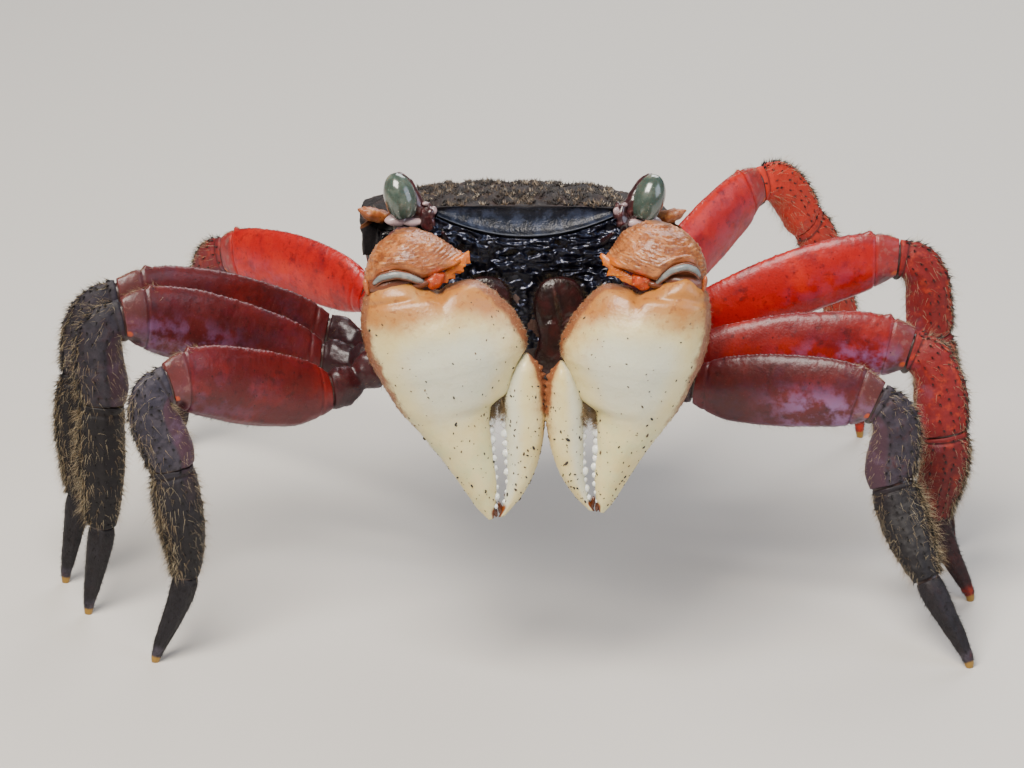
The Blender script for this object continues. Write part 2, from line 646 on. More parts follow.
# ---- carapace
carapace = {
    "frontHalf": 10.2, "orbitInner": 11.2, "orbitOuter": 16.6, "orbitBack": 4.2, "halfWidth": 18.7,
    "orbitFloor": -3.4, "orbitSill": 1.0, "base": -6.0, "shrink": 0.985,
    "front": ((0.0, 0.5), (1.6, 0.0), (10.2, 0.0), (11.2, 3.2), (14.2, 3.9), (16.6, 4.2), (17.8, 3.5),
              (18.7, 2.8)),
    "side": ((2.8, 18.7), (4.3, 17.8), (5.8, 18.4), (12.0, 17.7), (20.0, 16.5), (26.0, 14.8), (30.0, 12.4),
             (33.0, 10.8)),
    "crown": ((0.0, 0.0), (2.8, 0.4), (5.0, 0.6), (12.0, 2.0), (20.0, 1.4), (27.0, -0.4), (33.0, -3.0)),
    "sideDrop": 3.4,
    "lobes": ((3.3, 2.9), (8.6, 2.9)), "lobeHeight": 0.9, "lobeRadius": 2.4, "furrow": 0.8,
    "rows": ((0.0, 1.0), (2.6, 0.6), (5.1, 0.25), (8.0, 0.0), (33.0, 0.0)),
    "columnStep": 0.27, "rowStep": 0.3, "skirtSteps": 22,
    "plateDepth": 3.5, "plateSide": 1.2,
    # down the front: share of the way, y, and share of the plate's depth
    "plate": ((0.0, 0.0, 0.0), (0.06, -0.16, 0.04), (0.12, 0.0, 0.1), (0.22, 0.26, 0.25), (0.36, 0.38, 0.5),
              (0.48, 0.22, 0.76), (0.56, -0.1, 0.92), (0.61, -0.4, 0.99), (0.65, -0.42, 1.03),
              (0.69, -0.1, 1.05)),
    "ridges": 6,
    "tufts": {"tries": 16000, "each": 9, "scatter": (0.28, 0.45), "length": 0.5, "width": 0.07},
}


def steps(values, size):
    fine = [values[0]]
    for near, far in zip(values, values[1:]):
        count = max(2, math.ceil((far - near) / size))
        fine += [near + (far - near) * (k + 1) / count for k in range(count)]
    return np.array(fine)


def shellTop(x, y):
    side = np.abs(x)
    height = smoothTable(carapace["crown"], y.ravel())[:, 0].reshape(y.shape)
    height -= carapace["sideDrop"] * (side / 19.5) ** 3
    for lobeX, lobeY in carapace["lobes"]:
        away = np.hypot(side - lobeX, (y - lobeY) * 1.1) / carapace["lobeRadius"]
        height = height + carapace["lobeHeight"] * np.clip(1 - away ** 2, 0, 1) ** 0.8
    height -= carapace["furrow"] * np.clip(1 - side / 1.3, 0, 1) * ease(y, 0.6, 1.5) * ease(-y, -8.0, -6.0)
    height -= 0.3 * bell(side, 6.0, 0.5) * bell(y, 3.0, 2.0)  # shallow furrow between the lobes of a side
    # grooves round the stomach, the heart and between them and the gills
    neck = np.abs(np.hypot(side / 1.1, y - 10.5) - 6.2)
    height -= 0.4 * bell(neck, 0, 0.6) * ease(y, 9.5, 12.0)
    heart = np.abs(np.hypot(side / 0.9, y - 21.5) - 4.6)
    height -= 0.35 * bell(heart, 0, 0.55) * ease(side, 1.5, 3.0)
    height -= 0.25 * bell(side, 8.0 + (y - 17) * 0.1, 0.6) * ease(y, 14, 18) * ease(-y, -30, -26)
    for k in range(carapace["ridges"]):  # oblique ridges over the gills
        line = y - (8.5 + 2.9 * k) - (17.0 - side) * 0.75
        height += 0.16 * bell(line, 0, 0.3) * ease(side, 11.0, 14.0) * ease(-side, -18.2, -17.0)
    return height


def onFront(x, y):
    return abs(x) <= carapace["frontHalf"] + 0.01 and y < 1.0


def plateReach(x):
    # how far down the smooth plate of the front reaches
    middle = np.clip(1 - (x / carapace["frontHalf"]) ** 2, 0, 1)
    return carapace["plateSide"] + (carapace["plateDepth"] - carapace["plateSide"]) * middle


def skirtPoint(place, share):
    # the way from the upper edge down to the flat base, at the front, in an orbit or at the side
    x, y, z = place
    if onFront(x, y):
        depth = plateReach(x)
        path = carapace["plate"] + ((1.0, 0.7, -carapace["base"] / depth),)
        out, down = smoothTable(path, [share])[0]
        kept = 1 - ease(share, 0, 0.12)
        return (x, y * kept + out, z * kept - down * depth)
    if abs(x) <= carapace["orbitOuter"] + 0.01 and y <= carapace["orbitBack"] + 0.01:
        floor, sill = carapace["orbitFloor"], carapace["orbitSill"]
        path = ((0.0, y, z), (0.05, y - 0.2, z - 0.15), (0.12, y - 0.1, z - 0.5), (0.3, y + 0.1, -1.9),
                (0.42, y - 0.1, floor + 0.3), (0.5, y - 0.6, floor - 0.1), (0.66, sill + 0.7, floor - 0.1),
                (0.73, sill + 0.1, floor + 0.25), (0.79, sill - 0.3, floor + 0.1),
                (0.85, sill - 0.2, floor - 0.5), (1.0, sill, carapace["base"]))
        out, down = smoothTable(path, [share])[0]
        return (x, out, down)
    path = ((0.0, 1.0, 0.0), (0.05, 1.004, 0.05), (0.15, 1.0, 0.16), (0.3, 0.99, 0.3),
            (1.0, carapace["shrink"], 1.0))
    wide, down = smoothTable(path, [share])[0]
    return (x * wide, y + (min(y, 32.4) - y) * share, z + (carapace["base"] - z) * down)


def toothPaint(x, y):
    return bell(np.hypot(np.abs(x) - 18.1, (y - 3.4) * 0.9), 0, 1.3)


def makeCarapace():
    stops = [carapace[key] for key in ("frontHalf", "orbitInner", "orbitOuter", "halfWidth")]
    half = steps(sorted(stops + [0.0, 1.6, 3.3, 6.0, 8.6, 14.2, 17.8]), carapace["columnStep"])
    columns = np.concatenate((-half[:0:-1], half))
    rowYs = steps([row[0] for row in carapace["rows"]], carapace["rowStep"])
    follow = smoothTable(carapace["rows"], rowYs)[:, 0]
    edge = smoothTable(carapace["front"], np.abs(columns))[:, 0]
    y = rowYs[:, None] + follow[:, None] * edge[None, :]
    margin = smoothTable(carapace["side"], y.ravel())[:, 0].reshape(y.shape)
    blend = ease(rowYs, 0.0, 1.2)[:, None]
    x = columns[None, :] / carapace["halfWidth"] * (margin * blend + carapace["halfWidth"] * (1 - blend))
    flat = np.stack((x, y, shellTop(x, y)), axis=2)
    rough = bumps(flat, 1.3, 3) * 0.1 + bumps(flat, 4.0, 2) * 0.12
    lobe = ease(-y, -14.5, -11.5) * ease(-np.abs(x), -13.0, -11.2)
    grainy = warts(flat, 0.75) * (0.1 + 0.2 * lobe) + warts(flat, 1.3) * 0.3 * lobe
    flat[..., 2] += (rough + grainy * ease(rowYs, 0.15, 0.8)[:, None]) * ease(rowYs, 0.0, 0.8)[:, None]
    skin = newSkin()
    side = ease(np.abs(x) / margin, 0.9, 1.0) * 0.6
    addSheet(skin, flat, {"lobe": lobe, "tooth": toothPaint(x, y), "side": side})
    # the rim is drawn down step by step to the flat base
    edges = [e for e in skin.edges if e.is_boundary]
    places = {v: tuple(v.co) for e in edges for v in e.verts}
    layers = skin.verts.layers.float
    for step in range(1, carapace["skirtSteps"] + 1):
        share = step / carapace["skirtSteps"]
        grown = bmesh.ops.extrude_edge_only(skin, edges=edges)["geom"]
        edges = [g for g in grown if isinstance(g, bmesh.types.BMEdge) and g.is_boundary]
        moved = {}
        for vert in dict.fromkeys(v for e in edges for v in e.verts):
            above = next(e.other_vert(vert) for e in vert.link_edges if e.other_vert(vert) in places)
            x0, y0, z0 = moved[vert] = places[above]
            vert.co = skirtPoint((x0, y0, z0), share)
            vert[layers["tooth"]] = toothPaint(x0, y0) * ease(-share, -0.2, -0.05)
            vert[layers["side"]] = 1.0
            front = onFront(x0, y0)
            if front:
                vert[layers["plate"]] = ease(share, 0.06, 0.16) * ease(-share, -0.68, -0.61)
                vert[layers["lip"]] = bell(share, 0.63, 0.035)
            # wet folds under the plate and under the eyes
            damp = ease(share, 0.66, 0.74) if front else ease(-abs(x0), -17.2, -16.4) * ease(share, 0.3, 0.5)
            vert[layers["dim"]] = damp
            fold = max(0.0, 1 - 3 * abs(noise.noise(vert.co * 0.8)))
            vert.co.y -= 0.45 * fold * ease(share, 0.72, 0.8) * ease(-share, -1.0, -0.9) * damp
            if not front:
                vert.co.x += 0.1 * noise.noise(vert.co * 0.9)
        places = moved
    bmesh.ops.holes_fill(skin, edges=edges, sides=0)
    for vert in skin.verts:
        vert.co = toWorld(body, vert.co)
    finishPiece("carapaceShell", skin, "carapaceCuticle", ["carapace"])
    world = toWorld(body, flat)
    return {"rings": world, "normals": gridNormals(world, (0, 0, 1)), "tile": wholeTile, "x": x, "y": y}


carapaceGrid = makeCarapace()
print("carapace shaped")


def furCarapace():
    # short muddy tufts lie criss-cross over the lobes and up to the crown, and few lie farther back
    batches = []
    tufts = carapace["tufts"]
    rows, cols = carapaceGrid["x"].shape
    tries = tufts["tries"]
    r = rng.uniform(0, rows - 1.01, tries)
    c = rng.uniform(0, cols - 1.01, tries)
    x, y = (carapaceGrid[key][r.astype(int), c.astype(int)] for key in ("x", "y"))
    lobe = ease(-y, -15.0, -11.0) * ease(-np.abs(x), -13.2, -11.2)
    clumps = np.array([noise.noise(Vector((a * 0.7, b * 1.1, 0))) for a, b in zip(x, y)])
    keep = rng.uniform(0, 1, tries) < np.clip(lobe * (0.2 + 1.5 * clumps) + 0.015, 0, 1)
    r, c, lobe, y = r[keep], c[keep], lobe[keep], y[keep]
    tone = rng.beta(0.7, 1.3, len(r))
    r, c, lobe, y, tone = (np.repeat(part, tufts["each"]) for part in (r, c, lobe, y, tone))
    count = len(r)
    r, c = (at + rng.normal(0, scatter, count) for at, scatter in zip((r, c), tufts["scatter"]))
    shade = np.clip(tone + rng.normal(0, 0.05, count), 0, 1)
    length = vary(tufts["length"], 0.3, count) * (0.45 + 0.75 * lobe)
    stand = np.where(y < 2.0, 0.9, 0.45)
    width = vary(tufts["width"], 0.3, count) * (0.6 + 0.6 * lobe)
    grow(batches, "stub", carapaceGrid, r, c, length, width, stand, shade, 0.3, 0.6)
    finishCoat("carapaceTufts", batches, "lobeTuft")


furCarapace()

# ---- eyes
eye = {
    "splay": 17.0, "top": (13.7, 0.35, -1.5), "length": 5.3, "radius": 1.87, "sides": 44, "rows": 40,
    # stalk: place in the body's frame and radius, from the inner corner of the orbit into the cornea
    "stalk": ((11.8, 3.0, -1.7, 0.9), (12.1, 1.9, -1.3, 1.15), (12.4, 1.0, -0.6, 1.2),
              (12.75, 0.6, 0.3, 1.05), (13.15, 0.55, 1.4, 0.85), (13.75, 0.5, 2.5, 0.7),
              (14.6, 0.45, 3.15, 0.55), (15.0, 0.4, 3.1, 0.3)),
    # swollen skin round the stalk's root: place, radii, sides, how pale it is and how uneven
    "lobes": (((12.9, 0.55, -2.05), (1.35, 0.7, 0.55), 24, 1.0, 0.2),
              ((11.15, 0.35, -1.45), (0.95, 1.1, 1.65), 34, 0.0, 0.35),
              ((11.5, -0.2, 0.1), (0.4, 0.3, 0.28), 22, 0.6, 0.3),
              ((10.6, -0.35, -0.6), (0.35, 0.3, 0.5), 22, 0.6, 0.4),
              ((14.6, 0.9, -1.9), (1.5, 0.9, 0.7), 24, 0.7, 0.2)),
    # tooth outside the orbit: place and radius
    "tooth": ((15.3, 4.1, -1.6, 0.35), (15.9, 3.5, -1.55, 0.8), (16.8, 2.8, -1.45, 1.0),
              (17.7, 2.35, -1.2, 0.95), (18.5, 2.15, -0.9, 0.6), (19.1, 2.0, -0.62, 0.12)),
}


def tubeAlong(points, radii, sides, up, flatten=1.0):
    # rings round a smooth path; points (n, 3), radii (n,)
    count = len(points) * 7
    table = np.column_stack((np.linspace(0, 1, len(points)), points, radii))
    fine = smoothTable(table, np.linspace(0, 1, count))
    centre, radius = fine[:, :3], fine[:, 3]
    way = unit(np.gradient(centre, axis=0))
    across = unit(np.cross(way, up))
    return centre[:, None] + hoop(across, np.cross(across, way) * flatten, sides) * radius[:, None, None]


def makeEyes():
    for side, sign in (("left", 1), ("right", -1)):
        splay = math.radians(eye["splay"])
        up = unit(toWorld(body, (sign * math.sin(splay), -0.05, math.cos(splay))) - body[0])
        foot = toWorld(body, np.array(eye["top"]) * (sign, 1, 1))
        back = unit(body[1][1] - up * (body[1][1] @ up))
        part = 0.5 - 0.5 * np.cos(np.linspace(0, np.pi, eye["rows"]))
        size = np.sqrt(np.maximum(0.0008, 1 - np.abs((part - 0.46) / 0.545) ** 2.5)) * eye["radius"]
        size *= 1 - 0.1 * ease(part, 0.4, 1.0)  # a little narrower on top
        ring = hoop(np.cross(up, back), back, eye["sides"])
        rings = foot + up * (part * eye["length"])[:, None, None] + ring[None] * size[:, None, None]
        angles = np.linspace(0, 2 * np.pi, eye["sides"], endpoint=False)
        skin = newSkin()
        addTube(skin, rings, {"top": ease(part, 0.72, 0.98)[:, None] * (0.6 + 0.4 * np.cos(angles - 0.8))})
        finishPiece(f"{side}Cornea", skin, "corneaLens", [f"eye_{side}"])
        path = np.array(eye["stalk"])
        rings = tubeAlong(toWorld(body, path[:, :3] * (sign, 1, 1)), path[:, 3], 36, body[1][2])
        rings += ringNormals(rings) * (bumps(rings, 0.8, 2) * 0.09)[..., None]
        local = (rings - body[0]) @ body[1].T
        local -= local.mean(axis=1, keepdims=True)
        under, beside = ease(-local[..., 2], 0.55, 1.1), ease(sign * local[..., 0], 0.35, 0.7)
        skin = newSkin()
        addTube(skin, rings, {"soft": np.clip(under + 0.8 * beside, 0, 1)})
        for place, radii, sides, soft, wobble in eye["lobes"]:
            centre = toWorld(body, np.array(place) * (sign, 1, 1))
            addBall(skin, centre, body[1], radii, sides, {"soft": soft}, wobble)
        finishPiece(f"{side}EyeStalk", skin, "stalkCuticle", [f"eye_stalk_{side}"])
        path = np.array(eye["tooth"])
        rings = tubeAlong(toWorld(body, path[:, :3] * (sign, 1, 1)), path[:, 3], 36, body[1][2], 0.8)
        rings += ringNormals(rings) * (bumps(rings, 0.9, 2) * 0.14 + warts(rings, 0.45) * 0.08)[..., None]
        skin = newSkin()
        addTube(skin, rings, {"dim": np.linspace(1, 0, len(rings))[:, None] ** 3})
        finishPiece(f"{side}OrbitTooth", skin, "orbitCuticle")


makeEyes()
print("eyes set in their orbits")

# ---- chest: walls, belly plates and the wet face
chest = {
    "top": -6.3, "floor": -22.4, "floorRise": 0.174, "floorStart": 8.5,
    "stations": ((0.0, 14.2), (8.5, 15.0), (13.5, 14.7), (18.5, 13.9), (23.5, 12.6), (28.5, 10.5),
                 (31.5, 8.6)),
    "lean": 0.2, "reference": -18.5, "faceY": 1.5, "faceLean": 0.16, "chamfer": 2.0,
    "legGrooves": (8.5, 13.5, 18.5, 23.5, 28.5), "rows": 90, "sides": 120,
}


def chestFloor(y):
    return chest["floor"] + chest["floorRise"] * np.maximum(0, y - chest["floorStart"])


def wallX(y, z):
    return np.interp(y, *zip(*chest["stations"])) + chest["lean"] * (z - chest["reference"])


def faceY(z):
    return chest["faceY"] + chest["faceLean"] * (chest["top"] - z)


def makeThorax():
    rear = chest["stations"][-1][0]
    shares = np.linspace(0, 1, chest["rows"])
    rings = []
    for share in shares:
        y = share * rear
        low = float(chestFloor(y))
        corner = low + 1.2
        flank = [(wallX(y, chest["top"]), chest["top"]), (wallX(y, corner), corner),
                 (wallX(y, corner) - chest["chamfer"], low)]
        path = np.array(flank + [(0.0, low)] + [(-px, pz) for px, pz in reversed(flank)] + flank[:1])
        length = distances(path)
        at = np.linspace(0, length[-1], chest["sides"], endpoint=False)
        px, pz = np.interp(at, length, path[:, 0]), np.interp(at, length, path[:, 1])
        front = faceY(pz)
        rings.append(np.column_stack((px, front + (rear - front) * share, pz)))
    rings = np.array(rings)
    x, y, z = rings[..., 0], rings[..., 1], rings[..., 2]
    wall = ease(np.abs(x) - wallX(y, z), -0.6, -0.1) * ease(z, chestFloor(y) + 1.0, chestFloor(y) + 1.6)
    belly = ease(-(z - chestFloor(y)), -0.4, -0.05)
    groove = np.max([bell(y, at, 0.35) for at in chest["legGrooves"]], axis=0)
    groove = groove * np.maximum(belly, wall * ease(-z, 12.0, 15.0))
    lift = -0.35 * groove + bumps(rings, 1.5, 3) * 0.12 - 0.1
    world = toWorld(body, rings)
    world = world + ringNormals(world) * lift[..., None]
    skin = newSkin()
    addTube(skin, world, {"belly": belly, "groove": groove, "side": wall})
    finishPiece("chestShell", skin, "sternumCuticle", ["thorax"])
    return {"rings": world, "normals": ringNormals(world), "tile": wholeTile, "wall": wall, "z": z}


chestSkin = makeThorax()

face = {
    "half": 15.2, "columns": 230, "rows": 150, "low": -20.9, "netSpacing": 0.95, "netHeight": 0.16,
    "depth": 0.9, "counts": {"net": 5200, "fold": 1500, "flank": 4200},
    # bristles: shape, length and its share of change, width, stand, shade from and to, bend and spread
    "netBristle": ("bristle", 0.3, 0.4, 0.02, 0.8, 0.0, 1.0, 0.6, 0.3),
    "foldBristle": ("bristle", 0.4, 0.4, 0.02, 0.7, 0.0, 1.0, 0.4, 0.5),
    "flankBristle": ("bristle", 0.55, 0.5, 0.022, 0.5, 0.0, 1.0, 0.3, 0.5),
}


def shieldY(x, z):
    # just in front of the shell's skirt above and of the chest below
    depth = 1.05 * plateReach(x)
    skirt = 0.8 * np.clip((-z - depth) / (-carapace["base"] - depth), 0, 1) - 0.1
    skirt = skirt + 0.45 * ease(np.abs(x), 10.8, 12.0)
    lower = ease(-z, 5.6, 7.4)
    return skirt * (1 - lower) + faceY(z) * lower, depth


def makeFace():
    # a wet sheet from the front plate down past the mouth, with a net of low ridges on each cheek
    x = np.linspace(-face["half"], face["half"], face["columns"]) * np.ones((face["rows"], 1))
    share = np.linspace(0, 1, face["rows"])[:, None]
    side = np.abs(x)
    depth = shieldY(x, x * 0)[1]
    middle = ease(-side, -11.5, -10.7)
    top = -(depth + 0.25) * middle - 4.1 * (1 - middle)
    z = top + (face["low"] - top) * share
    upper = ease(z, -9.5, -7.8)
    cheek = ease(side, 6.5, 10.5) * ease(-side, -15.5, -13.0)
    ledge = bell(side, 8.0, 0.45) * ease(-z, 8.0, 9.5)  # raised edge round the mouth
    sill = bell(z, -7.2 + 0.02 * x ** 2, 0.4) * ease(-side, -6.5, -5.0)
    hollow = ease(-side, -7.6, -7.0) * ease(-z, 8.0, 8.8)
    crown = np.sin(np.clip((z - face["low"]) / 14.6, 0, 1) * np.pi)
    out = 0.2 + (0.15 + 0.55 * cheek * crown) * (1 - upper) + 0.5 * ledge + 0.45 * sill - 0.25 * hollow
    net = [line / face["netSpacing"] for line in (x + z, x - z)]
    net = np.max([bell(np.abs(line - np.round(line)), 0, 0.14) for line in net], axis=0)
    net = net * ease(side, 8.2, 9.0) * (1 - upper)
    flat = np.stack((x, shieldY(x, z)[0] - out, z), axis=2)
    wild = bumps(flat, 0.9, 3) * 0.2 + bumps(flat, 2.5, 2) * 0.35
    # short wavy folds, longer across than high
    fold = np.clip(1 - np.abs(bumps(flat * (0.5, 0.6, 1.2), 1.35, 2)) * 2.4, 0, 1) ** 1.5
    flat[..., 1] -= net * face["netHeight"] + wild * (0.35 + 0.65 * (1 - net)) + fold * (0.12 + 0.5 * upper)
    skin = newSkin()
    addSheet(skin, flat, {"net": net})
    edges = [e for e in skin.edges if e.is_boundary]
    grown = bmesh.ops.extrude_edge_only(skin, edges=edges)["geom"]
    for vert in (g for g in grown if isinstance(g, bmesh.types.BMVert)):
        vert.co.y += face["depth"]
    edges = [g for g in grown if isinstance(g, bmesh.types.BMEdge) and g.is_boundary]
    bmesh.ops.holes_fill(skin, edges=edges, sides=0)
    for vert in skin.verts:
        vert.co = toWorld(body, vert.co)
    finishPiece("faceShield", skin, "faceCuticle")
    world = toWorld(body, flat)
    return {"rings": world, "normals": gridNormals(world, -body[1][1]), "tile": wholeTile, "net": net}


faceGrid = makeFace()

mouth = {
    "centre": (4.25, -14.4), "half": (3.35, 6.1), "thick": 1.5, "gap": 0.315, "rows": 34, "sides": 72,
    "counts": {"fringe": 1100, "crest": 500},
    "fringe": ("bristle", 0.8, 0.4, 0.022, 0.8, 0.3, 1.0, 0.3, 0.35),
    "crestBristle": ("bristle", 0.55, 0.4, 0.022, 0.6, 0.2, 1.0, 0.2, 0.3),
}


def makeMouthPlates():
    # outer jaws: two domed plates, each with a cross furrow and an oblique hairy crest
    for side, sign in (("left", 1), ("right", -1)):
        shares = np.linspace(0, 1, mouth["rows"])
        out = mouth["thick"] * np.sin(shares * np.pi / 2) ** 0.9
        dome = np.cos(np.clip((shares - 0.15) / 0.85, 0, 1) * np.pi / 2) ** 0.55
        size = np.maximum(np.where(shares < 0.15, 0.92 + shares * 0.55, dome), 0.015)
        angles = np.linspace(0, 2 * np.pi, mouth["sides"], endpoint=False)
        px, pz = (np.sign(turn) * np.abs(turn) ** 0.75 * half * size[:, None]
                  for turn, half in zip((np.cos(angles), np.sin(angles)), mouth["half"]))
        # the inner edge is cut back in the middle, which leaves the lozenge between the two plates
        px = px + 1.1 * ease(-px, 0.6, 3.0) * bell(pz, -0.8, 2.6)
        crest = bell(px - (0.5 - pz * 0.28), 0, 0.3) * ease(shares, 0.4, 0.8)[:, None]
        furrow = bell(pz - 1.3 - 0.15 * px, 0, 0.25) * ease(shares, 0.2, 0.5)[:, None]
        lift = 0.22 * crest - 0.3 * furrow
        x, z = mouth["centre"][0] + px, mouth["centre"][1] + pz
        y = faceY(z) - mouth["gap"] - 0.35 - out[:, None] - lift
        rings = toWorld(body, np.stack((sign * x, y, z), axis=2))
        rings += ringNormals(rings) * (bumps(rings, 0.8, 2) * 0.06)[..., None]
        skin = newSkin()
        addTube(skin, rings, {"rim": np.clip(ease(-shares, -0.35, -0.1)[:, None] + crest, 0, 1)})
        finishPiece(f"{side}MouthPlate", skin, "mouthCuticle", [f"mouth_plate_{side}"])
        batches = []
        grid = {"rings": rings, "normals": ringNormals(rings), "tile": wholeTile}
        count = mouth["counts"]["fringe"]
        r = rng.uniform(mouth["rows"] * 0.05, mouth["rows"] * 0.5, count)
        growKind(batches, grid, r, rng.uniform(0, mouth["sides"], count), mouth["fringe"])
        growKind(batches, grid, *pickCells(crest > 0.75, mouth["counts"]["crest"]), mouth["crestBristle"])
        finishCoat(f"{side}MouthFringe", batches, "faceBristle")


makeMouthPlates()


def furFace():
    # short hooked bristles stand along the ridges of the net, and trap its water
    batches, counts = [], face["counts"]
    growKind(batches, faceGrid, *pickCells(faceGrid["net"] > 0.5, counts["net"]), face["netBristle"])
    rows, cols = faceGrid["net"].shape
    r = rng.uniform(2, rows * 0.45, counts["fold"])
    c = rng.uniform(cols * 0.15, cols * 0.85, counts["fold"])
    growKind(batches, faceGrid, r, c, face["foldBristle"])
    finishCoat("faceBristles", batches, "faceBristle")
    batches = []
    wall = (chestSkin["wall"] > 0.7) & (chestSkin["z"] < -9)
    growKind(batches, chestSkin, *pickCells(wall, counts["flank"]), face["flankBristle"])
    finishCoat("flankBristles", batches, "darkBristle")


furFace()

feeler = {
    "root": (9.0, 0.45, -4.3), "way": (0.2, -0.9, 0.25), "rise": 0.25, "length": 4.0, "radius": 0.4,
    "joints": 9, "rows": 46, "sides": 14,
}


def makeFeelers():
    for side, sign in (("left", 1), ("right", -1)):
        start = np.array(feeler["root"]) * (sign, 1, 1)
        way = unit(np.array(feeler["way"]) * (sign, 1, 1))
        shares = np.linspace(0, 1, feeler["rows"])
        beads = 1 - 0.12 * np.cos(shares * feeler["joints"] * 2 * np.pi)
        radius = feeler["radius"] * (1.05 - 0.6 * shares) * beads
        radius[-1] = 0.05
        rise = np.array((0, 0, feeler["rise"])) * (shares ** 2)[:, None]
        centre = start + way * (shares * feeler["length"])[:, None] + rise
        across = unit(np.cross(way, (0, 0, 1)))
        ring = hoop(across, np.cross(across, way), feeler["sides"])
        skin = newSkin()
        addTube(skin, toWorld(body, centre[:, None] + ring[None] * radius[:, None, None]))
        finishPiece(f"{side}Feeler", skin, "mouthCuticle", [f"feeler_{side}"])


makeFeelers()

tail = {
    "under": ((10.0, 1.2), (14.0, 2.2), (19.0, 3.2), (25.0, 4.6), (30.6, 5.6)),
    "back": ((-15.5, 6.2), (-10.5, 7.4), (-7.0, 8.0)), "thick": 1.2, "gap": 0.3,
    "joints": (0.13, 0.27, 0.4, 0.53, 0.66, 0.82), "rows": 130, "arcSides": 26, "flatSides": 9,
    "bend": {"half": 5.9, "reach": 1.25, "drop": 1.1},  # where it turns up behind the belly
}


def makeTail():
    # the folded tail: six short joints and a pointed last one, tucked under the belly
    gap = tail["gap"]
    rear = chest["stations"][-1][0] + gap
    down = unit(np.array((0.0, chest["floorRise"], -1.0)))
    back = np.array((0.0, 1.0, 0.0))
    path = [(np.array((0.0, y, float(chestFloor(y)))) + down * gap, down, half) for y, half in tail["under"]]
    bend = tail["bend"]
    corner = np.array((0.0, rear, float(chestFloor(rear)) - gap * bend["drop"]))
    path.append((corner, unit(down + back) * bend["reach"], bend["half"]))
    path += [(np.array((0.0, rear, z)), back, half) for z, half in tail["back"]]
    points, ways, halves = (np.array(column) for column in zip(*path))
    length = distances(points)
    length = length / length[-1]
    shares = np.linspace(0, 1, tail["rows"])
    centre, way = (np.column_stack([np.interp(shares, length, part[:, k]) for k in range(3)])
                   for part in (points, ways))
    groove = np.max([bell(shares, at, 0.008) for at in tail["joints"]], axis=0)
    width = smoothTable(np.column_stack((length, halves)), shares)[:, 0]
    width = width * (1 - 0.05 * groove) * (1 - ease(-shares, -0.03, 0.0) * 0.6)
    turns = np.linspace(0.1, math.pi - 0.1, tail["arcSides"])
    arc = [(math.cos(a), 0.55 + 0.45 * math.sin(a)) for a in turns]
    flat = [(x, 0.02) for x in np.linspace(-0.8, 0.8, tail["flatSides"])]
    across, off = np.array([(1.0, 0.02), (1.0, 0.5)] + arc + [(-1.0, 0.5), (-1.0, 0.02)] + flat).T
    outer = groove[:, None] * (off > 0.3)
    rings = centre[:, None] + way[:, None] * (tail["thick"] * (1 - 0.35 * outer) * off)[..., None]
    rings = rings + np.array((1.0, 0, 0)) * (width[:, None] * across)[..., None]
    skin = newSkin()
    addTube(skin, toWorld(body, rings), {"belly": 0.8, "groove": outer})
    finishPiece("tailFlap", skin, "sternumCuticle", ["tail_flap"])


makeTail()
print("chest, face and tail shaped")

